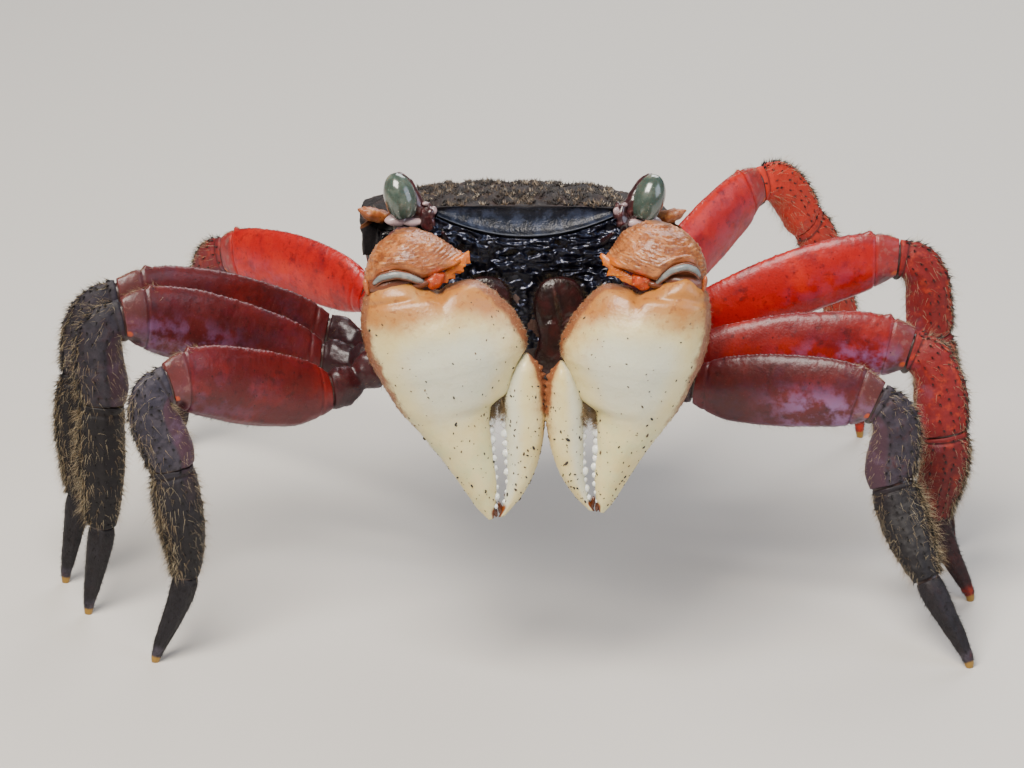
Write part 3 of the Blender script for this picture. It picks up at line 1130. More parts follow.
# ---- claws
claw = {
    "joint": {"left": (17.0, -14.5, 50.1), "right": (-14.4, -14.5, 49.9)},
    "tilt": {"left": 9.6, "right": 13.0}, "lean": 10.0, "faceRise": 25.0,
    "breadth": {"left": 0.91, "right": 1.0},
    "fingerStart": 16.4, "fingerStretch": {"left": 0.9, "right": 1.0},
    # s down the claw, lower edge, upper edge, half thickness
    "palm": ((-0.6, -2.4, 1.6, 1.2), (0.0, -3.3, 2.2, 2.3), (0.8, -4.1, 2.6, 3.0), (1.7, -4.5, 5.4, 3.5),
             (2.3, -4.7, 9.0, 3.8), (4.0, -5.1, 10.8, 4.3), (6.5, -5.2, 12.2, 4.7), (9.0, -4.8, 12.8, 4.7),
             (10.3, -4.4, 12.6, 4.5), (11.1, -4.2, 12.0, 4.3), (12.0, -3.9, 11.25, 4.1),
             (13.2, -3.5, 10.4, 3.8), (15.0, -2.8, 9.3, 3.3), (16.2, -2.1, 7.2, 2.9), (20.5, 0.0, 6.2, 2.3),
             (25.0, 1.8, 5.7, 1.5), (27.6, 2.8, 5.0, 0.9), (29.2, 3.7, 4.4, 0.35)),
    # ridge line of the palm's front, so that a step in its edge stays at the edge
    "palmMiddle": ((-0.6, -0.4), (2.0, 1.2), (4.0, 2.6), (8.0, 3.8), (11.5, 3.7), (14.0, 3.1), (16.4, 2.6),
                   (20.5, 3.1), (25.0, 3.75), (29.2, 4.05)),
    # joint flange: place and radius; and how far it reaches inward
    "flange": ((0.55, 4.5, 0.9, 0.4), (0.3, 5.5, 0.6, 0.55), (-0.2, 6.7, 0.3, 0.6), (-0.8, 7.7, 0.0, 0.6),
               (-1.35, 8.4, -0.3, 0.42), (-1.7, 8.7, -0.5, 0.1)),
    "flangeReach": {"left": 1.13, "right": 1.0},
    # middle of the joint's band of soft skin: t and s; and how far the palm rises under it
    "band": {"left": ((-2.7, -1.5), (-1.9, -2.25), (-0.9, -2.5), (0.65, -1.95), (1.75, -0.85), (2.6, 0.3)),
             "right": ((-2.6, -1.0), (-1.3, -1.65), (-0.1, -1.7), (1.3, -1.15), (2.3, -0.4), (3.0, 0.1))},
    "bandRise": {"left": 0.8, "right": 0.15},
    "finger": ((11.3, 11.95, 12.6, 0.5), (12.0, 10.85, 13.0, 1.5), (13.2, 9.95, 13.4, 1.9),
               (15.0, 8.95, 13.5, 2.0), (16.4, 8.45, 13.3, 2.0), (20.5, 7.8, 12.3, 1.9),
               (25.0, 6.9, 10.1, 1.5), (27.6, 5.95, 7.8, 0.9), (29.2, 4.9, 5.7, 0.35)),
    "teeth": {"first": 17.6, "last": 27.6, "count": 10,
              "size": (0.42, 0.62, 0.5, 0.66, 0.52, 0.6, 0.45, 0.5, 0.4, 0.36)},
    "wrist": {
        "left": ((-0.3, -3.2, 5.0, 2.6, 0.6), (-1.0, -3.4, 9.1, 3.5, 1.2), (-2.3, -3.1, 8.5, 4.1, 1.8),
                 (-3.9, -2.1, 7.7, 3.8, 2.2), (-5.0, -0.4, 6.2, 2.9, 2.5), (-5.7, 1.8, 4.9, 1.5, 2.7)),
        "right": ((-0.3, -3.3, 4.8, 2.6, 0.6), (-1.0, -3.5, 8.1, 3.4, 1.2), (-2.0, -3.1, 7.3, 4.0, 1.8),
                  (-3.2, -2.3, 6.1, 3.8, 2.1), (-4.4, -1.1, 4.6, 3.0, 2.4), (-5.1, 0.7, 3.5, 1.6, 2.7))},
    "wristBack": -5.2, "armEnd": (-2.8, 1.6), "armRoot": (10.6, -16.8), "armSwing": 20.0,
    "armRadii": ((0.0, 2.1), (0.12, 2.4), (0.27, 2.6), (0.5, 2.8), (0.73, 2.6), (0.88, 2.4), (1.0, 2.0)),
    "palmRows": 150, "closeRows": (24, 2.6), "palmSides": 88, "fingerRows": 96, "fingerSides": 56,
    "wristRows": 110, "wristSides": 110, "armRows": 70, "armSides": 44,
    # knuckles at the ends of the joint: place, radii, how red they are and how uneven
    "knuckles": (((0.2, 4.2, 0.9), (1.05, 1.25, 0.8), 0.9, 0.3),
                 ((-0.6, -3.4, 0.7), (1.0, 0.35, 0.5), 0.4, 0.2)),
    # the band and its two folded rims: shift along the claw, radius and how brown it is
    "bandFolds": ((0.0, 0.38, 0.0), (0.4, 0.13, 0.9), (-0.4, 0.14, 0.9)),
    # bristles: shape, length and its share of change, width, stand, shade from and to, bend and spread
    "upperBristle": ("bristle", 0.38, 0.4, 0.018, 0.5, 0.2, 1.0, 0.1, 0.3),
    "lowerBristle": ("bristle", 0.35, 0.4, 0.018, 0.5, 0.2, 1.0, 0.1, 0.3),
    "cornerHair": ("hair", 0.9, 0.4, 0.035, 0.8, 0.0, 0.5, 0.4, 0.6),
    "wristBristle": ("bristle", 0.3, 0.4, 0.016, 0.5, 0.4, 1.0, 0.1, 0.4),
    "armBristle": ("bristle", 0.7, 0.4, 0.02, 0.5, 0.0, 1.0, 0.2, 0.4),
    "counts": {"crest": 420, "corner": 650, "wrist": 160, "arm": 500},
    # kind of bristle, first row, how far down the claw, and column and scatter as shares of the way round
    "crests": (("upperBristle", 6, 11.0, 0.0, 0.035), ("lowerBristle", 2, 22.0, 0.5, 0.03)),
    "corner": (16.6, 3.5, 2.0),  # how far down the claw, and scatter in rows and in columns
    "specks": {"perRow": 1.6, "smallest": 0.03, "length": 1.3, "width": 0.7},
}


def clawPlace(side):
    inward = 1.0 if side == "right" else -1.0
    tilt, lean, rise = (math.radians(turn) for turn in (claw["tilt"][side], claw["lean"], claw["faceRise"]))
    level = math.cos(tilt)
    down = np.array((inward * math.sin(tilt), -math.sin(lean) * level, -math.cos(lean) * level))
    facing = np.array((0.0, -math.cos(rise), math.sin(rise)))
    facing = unit(facing - down * (facing @ down))
    across = np.cross(facing, down) * inward
    origin = np.array(claw["joint"][side]) - np.array((*stance["centre"], 0.0))
    return origin, np.array((down, across * claw["breadth"][side], facing)), claw["fingerStretch"][side]


def clawWorld(place, points):
    # the fingers of one claw are a little shorter than those of the other
    local = np.array(points, float)
    local[..., 0] += np.maximum(0, local[..., 0] - claw["fingerStart"]) * (place[2] - 1)
    return toWorld(place, local)


def clawRings(table, places, sides, behind=False, middle=None):
    rows = smoothTable(table, places)
    rise, run = section(sides)
    low, high, thick = rows[:, 0:1], rows[:, 1:2], rows[:, 2:3]
    centre = (low + high) / 2 if middle is None else smoothTable(middle, places)
    t = centre + np.where(rise[None] > 0, high - centre, centre - low) * rise[None]
    n = thick * run[None] - (rows[:, 3:4] if behind else 0)
    s = np.asarray(places)[:, None] * np.ones_like(t)
    return np.stack((s, t, n), axis=2), rise


def addTeeth(skin, place, table, upper, seed):
    # rounded pearly teeth of uneven size, sunk in the cutting edge
    teeth = claw["teeth"]
    for k in range(teeth["count"]):
        s = teeth["first"] + (teeth["last"] - teeth["first"]) * (k + 0.25 * upper) / (teeth["count"] - 1)
        low, high = smoothTable(table, [s])[0][:2]
        size = teeth["size"][(k + seed) % 10] * (1.0 if k < 7 else 0.8)
        edge = high - 0.12 if upper else low + 0.12
        radii = (size * 0.95, size * 1.05, size * 0.9)
        addBall(skin, clawWorld(place, (s, edge, 0.1)), place[1], radii, 18, {"tooth": 1.0}, 0.12)


def makePalm(side, place):
    table = claw["palm"]
    close, step = claw["closeRows"]  # rows lie closer near the joint, where the upper edge steps out
    s = np.concatenate((np.linspace(table[0][0], step, close, endpoint=False),
                        np.linspace(step, table[-1][0], claw["palmRows"] - close)))
    rings, rise = clawRings(table, s, claw["palmSides"], middle=claw["palmMiddle"])
    # a round shoulder beside a notch for the knuckle, and a rise under the joint's band
    x, t = rings[..., 0], rings[..., 1]
    notch = (0.75 * bell(t, 4.4, 0.6) - 0.5 * bell(t, 8.2, 2.1)) * ease(-x, -5.0, -1.8)
    rings[..., 0] += notch - claw["bandRise"][side] * bell(t, -1.2, 1.5) * ease(-x, -2.5, 0.0)
    # the shape of a palm: fuller in the middle, pinched towards its upper crest
    along = s[:, None]
    rings[..., 2] *= 1 + 0.06 * np.cos(rise * np.pi) * ease(along, 2, 6)
    world = clawWorld(place, rings)
    upperCrest = ease(rise, 0.93, 1.0) * ease(-along, -11.5, -9.5) * ease(along, 1.5, 3.0)
    lowerCrest = ease(-rise, 0.93, 1.0) * ease(-along, -24, -14)
    slot = bell(along, 1.3, 0.35) * ease(t, -5.0, -3.0) * ease(-t, -4.5, -2.5)
    lift = (warts(world, 0.5) * (0.2 * upperCrest + 0.14 * lowerCrest + 0.018) + bumps(world, 2.5, 2) * 0.07
            - 0.25 * slot)
    world = world + ringNormals(world) * lift[..., None]
    rim = (ease(rise, 0.84, 1.0) * ease(-along, -13, -8) * ease(along, 0.5, 3.0)
           + ease(-rise, 0.8, 1.0) * ease(-along, -24, -6))
    warm = ease(-along, -6.8, -1.8) + 0.6 * ease(rise, 0.3, 0.95) * ease(-along, -14, -4)
    skin = newSkin()
    addTube(skin, world, {
        "rim": np.clip(rim, 0, 1), "warm": np.clip(warm, 0, 1), "dim": ease(along, 10, 20),
        "milk": ease(along, 3.5, 9) * ease(-along, -20, -12) * ease(-np.abs(rise), -0.95, -0.3),
        "tooth": 0.6 * ease(rise, 0.9, 1.0) * ease(along, 16.9, 17.8) * ease(-along, -28.0, -27.0),
        "horn": ease(along, 27.2, 28.6) * ease(rise, -0.1, 0.9),
    })
    addTeeth(skin, place, table, True, 0 if side == "left" else 3)
    # horny inner edge of the tip
    addBall(skin, clawWorld(place, (28.3, 4.7, 0.05)), place[1], (0.9, 0.3, 0.32), 20, {"horn": 1.0})
    finishPiece(f"{side}Palm", skin, "clawCuticle", [f"claw_{side}_palm"])
    return {"rings": world, "normals": ringNormals(world), "tile": (0.01, 0.01, 0.48, 0.48), "s": s}


def makeFinger(side, place):
    table = claw["finger"]
    s = np.linspace(table[0][0], table[-1][0], claw["fingerRows"])
    rings, rise = clawRings(table, s, claw["fingerSides"])
    world = clawWorld(place, rings)
    along = s[:, None]
    # sharp grains along the outer edge near the joint, lower ones towards the tip
    saw = 1 - np.abs(((along - 12) / 0.85) % 1.0 - 0.5) * 2
    crest = ease(rise, 0.95, 1.0) * saw * (0.42 * ease(-along, -21, -15) + 0.05) * ease(along, 12, 13)
    lift = crest + warts(world, 0.5) * 0.02 + bumps(world, 2.0, 2) * 0.05
    world = world + ringNormals(world) * lift[..., None]
    skin = newSkin()
    addTube(skin, world, {
        "rim": ease(rise, 0.45, 1.0) * ease(-along, -24, -13),
        "warm": 0.6 * ease(rise, -0.1, 0.9) * ease(-along, -27, -12), "milk": ease(-rise, -0.2, 0.8),
        "tooth": 0.6 * ease(-rise, 0.9, 1.0) * ease(along, 17.0, 18.0) * ease(-along, -28.0, -27.0),
        "horn": ease(along, 27.2, 28.6) * ease(-rise, -0.1, 0.9),
    })
    addTeeth(skin, place, table, False, 5 if side == "left" else 1)
    addBall(skin, clawWorld(place, (28.3, 5.35, 0.05)), place[1], (0.9, 0.3, 0.32), 20, {"horn": 1.0})
    finishPiece(f"{side}Finger", skin, "clawCuticle", [f"claw_{side}_finger"])
    return {"rings": world, "normals": ringNormals(world), "tile": (0.51, 0.01, 0.48, 0.48), "s": s}


def makeWrist(side, place):
    table = [(-row[0], *row[1:]) for row in claw["wrist"][side]]
    tall = table[-1][0] - 0.25
    s = -0.3 - tall * (0.5 - 0.5 * np.cos(np.linspace(0, np.pi, claw["wristRows"])))
    rings, rise = clawRings(table, -s, claw["wristSides"], True)
    rings[..., 0] *= -1
    rings[..., 2] = np.maximum(rings[..., 2], claw["wristBack"])
    # the lower edge arches up over the joint's membrane on the outer half of the front
    x, t, n = rings[..., 0], rings[..., 1], rings[..., 2]
    above = smoothTable(claw["band"][side], np.clip(t, -2.7, 3.0).ravel())[:, 0].reshape(t.shape) - 0.25
    arch = np.minimum(0, above) * ease(-t, -4.0, -2.6) * ease(n, 0.0, 1.4)
    rings[..., 0] += arch * ease(s, -4.2, -0.3)[:, None]
    world = clawWorld(place, rings)
    # scaly ridges follow the dome in broken arcs; each is steep towards the claw
    phase = ((x + 0.025 * (t - 1.8) ** 2) / 0.44 + bumps(world, 1.4, 2) * 0.55) % 1.0
    ridge = np.where(phase < 0.3, phase / 0.3, (1 - phase) / 0.7) * ease(bumps(world, 0.55, 2), -0.25, 0.15)
    calm = ease(-s, 0.6, 1.4)[:, None]
    lift = ((0.11 * ridge + 0.07 * warts(world, 0.42)) * calm + bumps(world, 0.5, 2) * 0.03
            + bumps(world, 2.2, 2) * 0.12)
    world = world + ringNormals(world) * lift[..., None]
    skin = newSkin()
    addTube(skin, world, {
        "ridge": ridge * calm, "rim": ease(s, -1.3, -0.4)[:, None] * ease(-t, -4.0, -2.6),
        "knob": bell(np.hypot(t - 4.6, x * 0.8), 0, 1.0), "warm": ease(rise, 0.5, 0.85) * ease(x, -2.2, -1.2),
    })
    # ragged amber flange on the inner corner, and the two knuckles of the joint
    path = np.array(claw["flange"]) * (1, claw["flangeReach"][side], 1, 1)
    flange = tubeAlong(path[:, :3], path[:, 3], 40, (0.0, 0.0, 1.0), 0.45)
    outward = np.array((0.7, 0.7, 0.0))
    away = np.clip((flange - flange.mean(axis=1, keepdims=True)) @ outward / 0.5, 0, 1)
    flange += (bumps(flange, 0.6, 3) * 0.6 * away)[..., None] * outward
    amber = ease(flange[..., 1], 4.6, 6.2)
    addTube(skin, clawWorld(place, flange), {"warm": amber, "knob": 1 - amber})
    for at, radii, red, wobble in claw["knuckles"]:
        addBall(skin, clawWorld(place, at), place[1], radii, 34, {"knob": red}, wobble)
    finishPiece(f"{side}Wrist", skin, "wristCuticle", [f"claw_{side}_wrist"])
    return {"rings": world, "normals": ringNormals(world), "tile": (0.01, 0.51, 0.48, 0.48)}


def makeMembrane(side, place):
    # soft skin of the joint: a thin band that arches under the wrist's edge, with a folded rim on each side
    turn = np.linspace(-1, 1, 60)
    band = np.array(claw["band"][side])
    across = band[0, 0] + (band[-1, 0] - band[0, 0]) * (turn + 1) / 2
    path = np.column_stack((smoothTable(band, across)[:, 0], across, 2.3 - 0.9 * turn ** 2))
    hide = newSkin()
    forward = np.array((0.0, 0.0, 1.0))
    for shift, radius, shade in claw["bandFolds"]:
        fold = path + (shift, 0.0, 0.1 * shift)
        size = radius * (0.2 + 0.8 * np.sqrt(np.clip(1 - turn ** 4, 0, 1)))
        aside = unit(np.cross(unit(np.gradient(fold, axis=0)), forward))
        ring = hoop(aside, forward, 16)
        addTube(hide, clawWorld(place, fold[:, None] + ring * size[:, None, None]), {"warm": shade})
    addBall(hide, clawWorld(place, (-0.4, -0.6, 0.2)), place[1], (1.3, 3.0, 1.8), 32, {"warm": 0.9}, 0.05)
    addBall(hide, clawWorld(place, (0.3, 2.4, 0.6)), place[1], (0.6, 1.7, 1.2), 28, {"warm": 0.9}, 0.1)
    finishPiece(f"{side}WristMembrane", hide, "jointMembrane")


def makeArm(side, place):
    # bent round arm from the chest to the back of the wrist
    sign = 1.0 if side == "left" else -1.0
    x, z = claw["armRoot"]
    forward = unit(toWorld(body, (0.0, -1.0, -chest["faceLean"])) - body[0])
    start = toWorld(body, (sign * x, float(faceY(z)), z)) + forward * 0.3
    end = clawWorld(place, (*claw["armEnd"], claw["wristBack"] - 0.3))
    share = np.linspace(0, 1, claw["armRows"])[:, None]
    rest = 1 - share
    swing = claw["armSwing"]
    path = (start * rest ** 2 * (1 + 2 * share) + forward * swing * share * rest ** 2
            + end * share ** 2 * (3 - 2 * share) - place[1][2] * swing * share ** 2 * rest)
    way = unit(np.gradient(path, axis=0))
    aside = unit(np.cross(way, body[1][0]))
    ring = hoop(np.cross(aside, way), aside, claw["armSides"])
    groove = bell(share, 0.16, 0.02) + bell(share, 0.86, 0.02)
    rings = path[:, None] + ring * (smoothTable(claw["armRadii"], share[:, 0]) * (1 - 0.08 * groove))[:, None]
    rings += ringNormals(rings) * (warts(rings, 0.7) * 0.12 + bumps(rings, 1.6, 2) * 0.12 - 0.06)[..., None]
    skin = newSkin()
    addTube(skin, rings, {"groove": groove, "end": ease(share, 0.8, 1.0)})
    finishPiece(f"{side}Arm", skin, "meralCuticle", [f"claw_{side}_arm"])
    return {"rings": rings, "normals": ringNormals(rings), "tile": (0.51, 0.51, 0.48, 0.48)}


def furClaw(side, palm, finger, wrist, arm):
    hairs, specks, counts = [], [], claw["counts"]
    sides, count = claw["palmSides"], counts["crest"]
    # bristles on both crests of the palm; columns start at the upper edge
    for kind, first, last, column, scatter in claw["crests"]:
        r = rng.uniform(first, np.searchsorted(palm["s"], last), count)
        growKind(hairs, palm, r, rng.normal(sides * column, sides * scatter, count), claw[kind])
    # brown tuft in the corner between the fingers
    down, rowScatter, columnScatter = claw["corner"]
    for skin, column in ((palm, 0.0), (finger, claw["fingerSides"] * 0.5)):
        r = rng.normal(np.searchsorted(skin["s"], down), rowScatter, counts["corner"])
        c = column + rng.normal(0, columnScatter, counts["corner"])
        growKind(hairs, skin, r, c, claw["cornerHair"])
    r = rng.uniform(8, claw["wristRows"] - 20, counts["wrist"])
    c = rng.uniform(0, claw["wristSides"], counts["wrist"])
    growKind(hairs, wrist, r, c, claw["wristBristle"])
    r = rng.uniform(6, claw["armRows"] - 8, counts["arm"])
    growKind(hairs, arm, r, rng.uniform(0, claw["armSides"], counts["arm"]), claw["armBristle"])
    finishCoat(f"{side}ClawHair", hairs, "paleHair")
    # specks of dried mud that cling to the shell
    speck = claw["specks"]
    for skin in (palm, finger):
        rows, sides = skin["rings"].shape[:2]
        count = int(rows * speck["perRow"])
        r = rng.uniform(0.12, 1, count) ** 0.8 * (rows - 6)
        roots, out, along, uv = onSkin(skin, r, rng.uniform(0, sides, count))
        ways = unit(along + rng.normal(0, 0.7, roots.shape))
        ways = ways - out * (ways * out).sum(axis=1, keepdims=True)
        size = rng.gamma(3.0, 0.025, count) + speck["smallest"]
        long, wide = size * speck["length"], size * speck["width"]
        plant(specks, "grain", roots, ways, out, long, wide, uv, rng.uniform(0, 0.9, count))
    finishCoat(f"{side}ClawSpecks", specks, "darkBristle")


for side in ("left", "right"):
    place = clawPlace(side)
    palm, finger, wrist = (make(side, place) for make in (makePalm, makeFinger, makeWrist))
    makeMembrane(side, place)
    furClaw(side, palm, finger, wrist, makeArm(side, place))
print("claws shaped")

# ---- walking legs
legs = {
    "roots": {1: (11.0, -19.3), 2: (16.0, -19.0), 3: (21.0, -18.0), 4: (26.0, -16.5)},
    "lengths": {1: (7.5, 21.5, 10.0, 14.5, 11.5), 2: (8.3, 25.5, 10.5, 15.5, 12.0),
                3: (8.7, 27.0, 11.0, 16.5, 12.5), 4: (7.0, 22.5, 11.0, 17.0, 13.3)},
    "breadth": {1: 1.0, 2: 1.0, 3: 0.93, 4: 0.95}, "kneeShare": 0.3,
    "pull": {"base": (1.0, 1.0), "merus": (1.0, 0.7), "carpus": (1.2, 1.0), "propodus": (1.0, 1.0),
             "dactyl": (1.0, 0.5)},
    "teeth": 42, "rowLength": {"carpus": 0.17, "propodus": 0.19},
    # tufts: spacing along the piece, width of a hair, then hairs in each tuft and their length
    "tufts": {"step": 1.25, "width": 0.045, "face": (7, 0.5), "edge": (6, 0.8)},
    "toeHair": {"count": 1500, "length": 0.6, "width": 0.026},
    "names": {"base": "Base", "merus": "Thigh", "carpus": "Knee", "propodus": "Shin", "dactyl": "Toe"},
    # turn backward from straight out, then rise above level, in degrees
    "pose": {
        ("left", 1): ((-15, -13), (-13, -1.5), (-28, -76), (-58, -50), (-35, -58)),
        ("left", 2): ((-8, 4), (-5, 3.5), (-30, -62), (-8, -92), (0, -68)),
        ("left", 3): ((4, 16), (3, 17), (6, -66), (10, -86), (10, -78)),
        ("left", 4): ((36, 17), (43, 24), (42, -38), (36, -68), (38, -80)),
        ("right", 1): ((-19, -18), (-30, 14), (-25, -92), (-24, -94), (-16, -70)),
        ("right", 2): ((16, -8), (-19, 19), (-8, -76), (-5, -87), (0, -80)),
        ("right", 3): ((28, 1), (-20, 17), (14, -64), (12, -86), (10, -80)),
        ("right", 4): ((56, 17), (38, -2.5), (56, -55), (48, -68), (38, -78)),
    },
    # place along the piece, half breadth above and below, half thickness
    "profiles": {
        "base": ((0.0, 2.0, 2.0, 1.7), (0.25, 2.4, 2.4, 1.9), (0.5, 1.8, 1.8, 1.6), (0.8, 2.6, 2.6, 1.8),
                 (1.0, 2.3, 2.3, 1.5)),
        "merus": ((0.0, 2.4, 2.4, 1.5), (0.06, 3.3, 3.0, 1.8), (0.2, 4.3, 4.0, 2.05), (0.45, 4.8, 4.3, 2.1),
                  (0.7, 4.6, 4.0, 2.0), (0.9, 4.0, 3.1, 1.8), (1.0, 3.2, 2.1, 1.5)),
        "carpus": ((0.0, 3.0, 1.9, 1.5), (0.12, 3.2, 2.0, 1.6), (0.28, 3.3, 2.2, 1.7),
                   (0.45, 3.3, 2.5, 1.7), (0.65, 3.3, 2.8, 1.7), (0.85, 3.2, 2.9, 1.7),
                   (1.0, 2.8, 2.6, 1.5)),
        "propodus": ((0.0, 2.7, 2.4, 1.5), (0.1, 3.0, 2.7, 1.6), (0.4, 3.1, 2.8, 1.6), (0.8, 2.4, 2.2, 1.4),
                     (1.0, 1.7, 1.7, 1.2)),
        "dactyl": ((0.0, 1.5, 1.5, 1.1), (0.1, 1.6, 1.6, 1.25), (0.45, 1.2, 1.2, 1.0),
                   (0.8, 0.7, 0.7, 0.65), (1.0, 0.45, 0.45, 0.45)),
    },
    "rows": {"base": 30, "merus": 170, "carpus": 64, "propodus": 84, "dactyl": 64},
    "sides": {"base": 36, "merus": 60, "carpus": 48, "propodus": 48, "dactyl": 32},
    "gap": 0.3,
    # 0 is maroon or grey, 1 is bright red
    "redUpper": {("left", 1): 0.12, ("left", 2): 0.38, ("left", 3): 0.85, ("left", 4): 1.0,
                 ("right", 1): 0.2, ("right", 2): 0.08, ("right", 3): 0.1, ("right", 4): 1.0},
    "redLower": {("left", 1): 0.1, ("left", 2): 0.8, ("left", 3): 0.85, ("left", 4): 1.0,
                 ("right", 1): 0.0, ("right", 2): 0.05, ("right", 3): 0.05, ("right", 4): 0.6},
    # darker lower legs, and lilac bloom on the wet front faces
    "shadow": {("left", 1): 0.35, ("right", 1): 0.15, ("right", 2): 0.5, ("right", 3): 0.45},
    "sheen": {("left", 1): 1.0, ("left", 2): 1.0, ("right", 2): 0.6},
    # soft skin in the joints: half height, half thickness and half length
    "membranes": ((1.7, 1.3, 1.2), (1.9, 1.2, 1.1), (2.5, 1.35, 1.1), (2.4, 1.3, 1.0), (1.4, 1.0, 0.8)),
    # coat, count, rows from and to, column and scatter (None is all round); then shape, length and its
    # share of change, width, stand, shade from and to, bend and spread
    "hairs": {
        "base": (("dark", 220, (2 / 30, 0.9), None, ("bristle", 0.6, 0.5, 0.022, 0.5, 0.0, 1.0, 0.3, 0.4)),),
        "merus": (
            ("dark", 420, (0.05, 0.95), (0.0, 0.6), ("bristle", 0.26, 0.5, 0.016, 0.5, 0.3, 1.0, 0.1, 0.3)),
            ("dark", 150, (0.1, 0.85), (0.5, 1.2), ("bristle", 0.45, 0.5, 0.024, 0.5, 0.0, 0.7, 0.2, 0.3)),
            ("dark", 90, (0.1, 0.9), None, ("stub", 0.16, 0.3, 0.035, 0.4, 0.0, 0.3, 0.1, 0.3)),
            ("pale", 70, (0.8, 0.97), (0.0, 2.0), ("hair", 0.8, 0.4, 0.014, 0.4, 0.4, 1.0, 0.3, 0.3)),
            ("pale", 60, (0.1, 0.9), (0.5, 3.0), ("hair", 1.1, 0.4, 0.014, 0.6, 0.3, 1.0, 0.3, 0.3)),
        ),
    },
}
for segment, count, rows in (("carpus", 300, 64), ("propodus", 650, 84)):
    reach = 2 / rows, 1 - 3 / rows
    legs["hairs"][segment] = (
        ("pale", count, reach, (0.0, 4.32), ("hair", 1.4, 0.5, 0.016, 0.7, 0.2, 1.0, 0.4, 0.35)),
        ("pale", count, reach, (0.5, 4.8), ("hair", 1.1, 0.5, 0.014, 0.7, 0.2, 1.0, 0.4, 0.35)),
    )


def legChain(side, leg):
    sign = 1.0 if side == "left" else -1.0
    y, z = legs["roots"][leg]
    step = 0.5
    start = toWorld(body, (sign * wallX(y, z), y, z))
    along = toWorld(body, (sign * wallX(y + step, z), y + step, z)) - start
    upward = toWorld(body, (sign * wallX(y, z + step), y, z + step)) - start
    normal = unit(np.cross(along, upward))
    if normal @ body[1][0] * sign < 0:
        normal = -normal
    ways, ups = [], []
    for turn, rise in legs["pose"][side, leg]:
        turn, rise = math.radians(turn), math.radians(rise)
        out = np.array((sign * math.cos(turn), math.sin(turn), 0.0))
        ways.append(out * math.cos(rise) + np.array((0, 0, math.sin(rise))))
        ups.append(np.array((0, 0, math.cos(rise))) - out * math.sin(rise))
    for index in (2, 3, 4):  # below the knee the flat faces lie in the plane of the leg's bend
        ups[index] = unit(ways[1] - ways[index] * (ways[1] @ ways[index]))
    lengths = list(legs["lengths"][leg])
    drop = start[2] + sum(way[2] * length for way, length in zip(ways, lengths))
    lengths[3] -= drop / ways[3][2]
    points = [start]
    for way, length in zip(ways, lengths):
        points.append(points[-1] + way * length)
    joints = [(normal, legs["gap"], ups[0])]
    for index in range(1, 5):
        share = legs["kneeShare"] if index == 2 else 0.5
        through = unit(ways[index - 1] * (1 - share) + ways[index] * share)
        joints.append((through, legs["gap"] / 2, unit(ups[index - 1] + ups[index])))
    joints.append((np.array((0.0, 0.0, -1.0)), 0.0, ups[4]))
    return points, joints


def limbRings(start, end, near, far, scale, pull, profile, rows, sides):
    # rings square to a bent path that leaves start and reaches end along the joints' ways
    span = end - start
    length = np.linalg.norm(span)
    leave, reach = near[0] * length * pull[0], far[0] * length * pull[1]
    share = np.linspace(0, 1, rows)
    s, rest = share[:, None], 1 - share[:, None]
    centre = start + span * s ** 2 * (3 - 2 * s) + leave * s * rest ** 2 - reach * s ** 2 * rest
    way = unit(span * 6 * s * rest + leave * rest * (1 - 3 * s) + reach * s * (3 * s - 2))
    across = unit(np.cross(way, near[2] * rest + far[2] * s))
    up = np.cross(across, way)
    above, below, thick = smoothTable(profile, share).T
    rise, run = section(sides)
    high = rise * np.where(rise[None] > 0, above[:, None], below[:, None])
    wide = run * (1 - 0.16 * rise - 0.1 * rise ** 2) * thick[:, None]  # thinner towards the upper edge
    off = up[:, None] * high[..., None] + across[:, None] * wide[..., None]
    return centre[:, None] + off * scale, share, rise, run


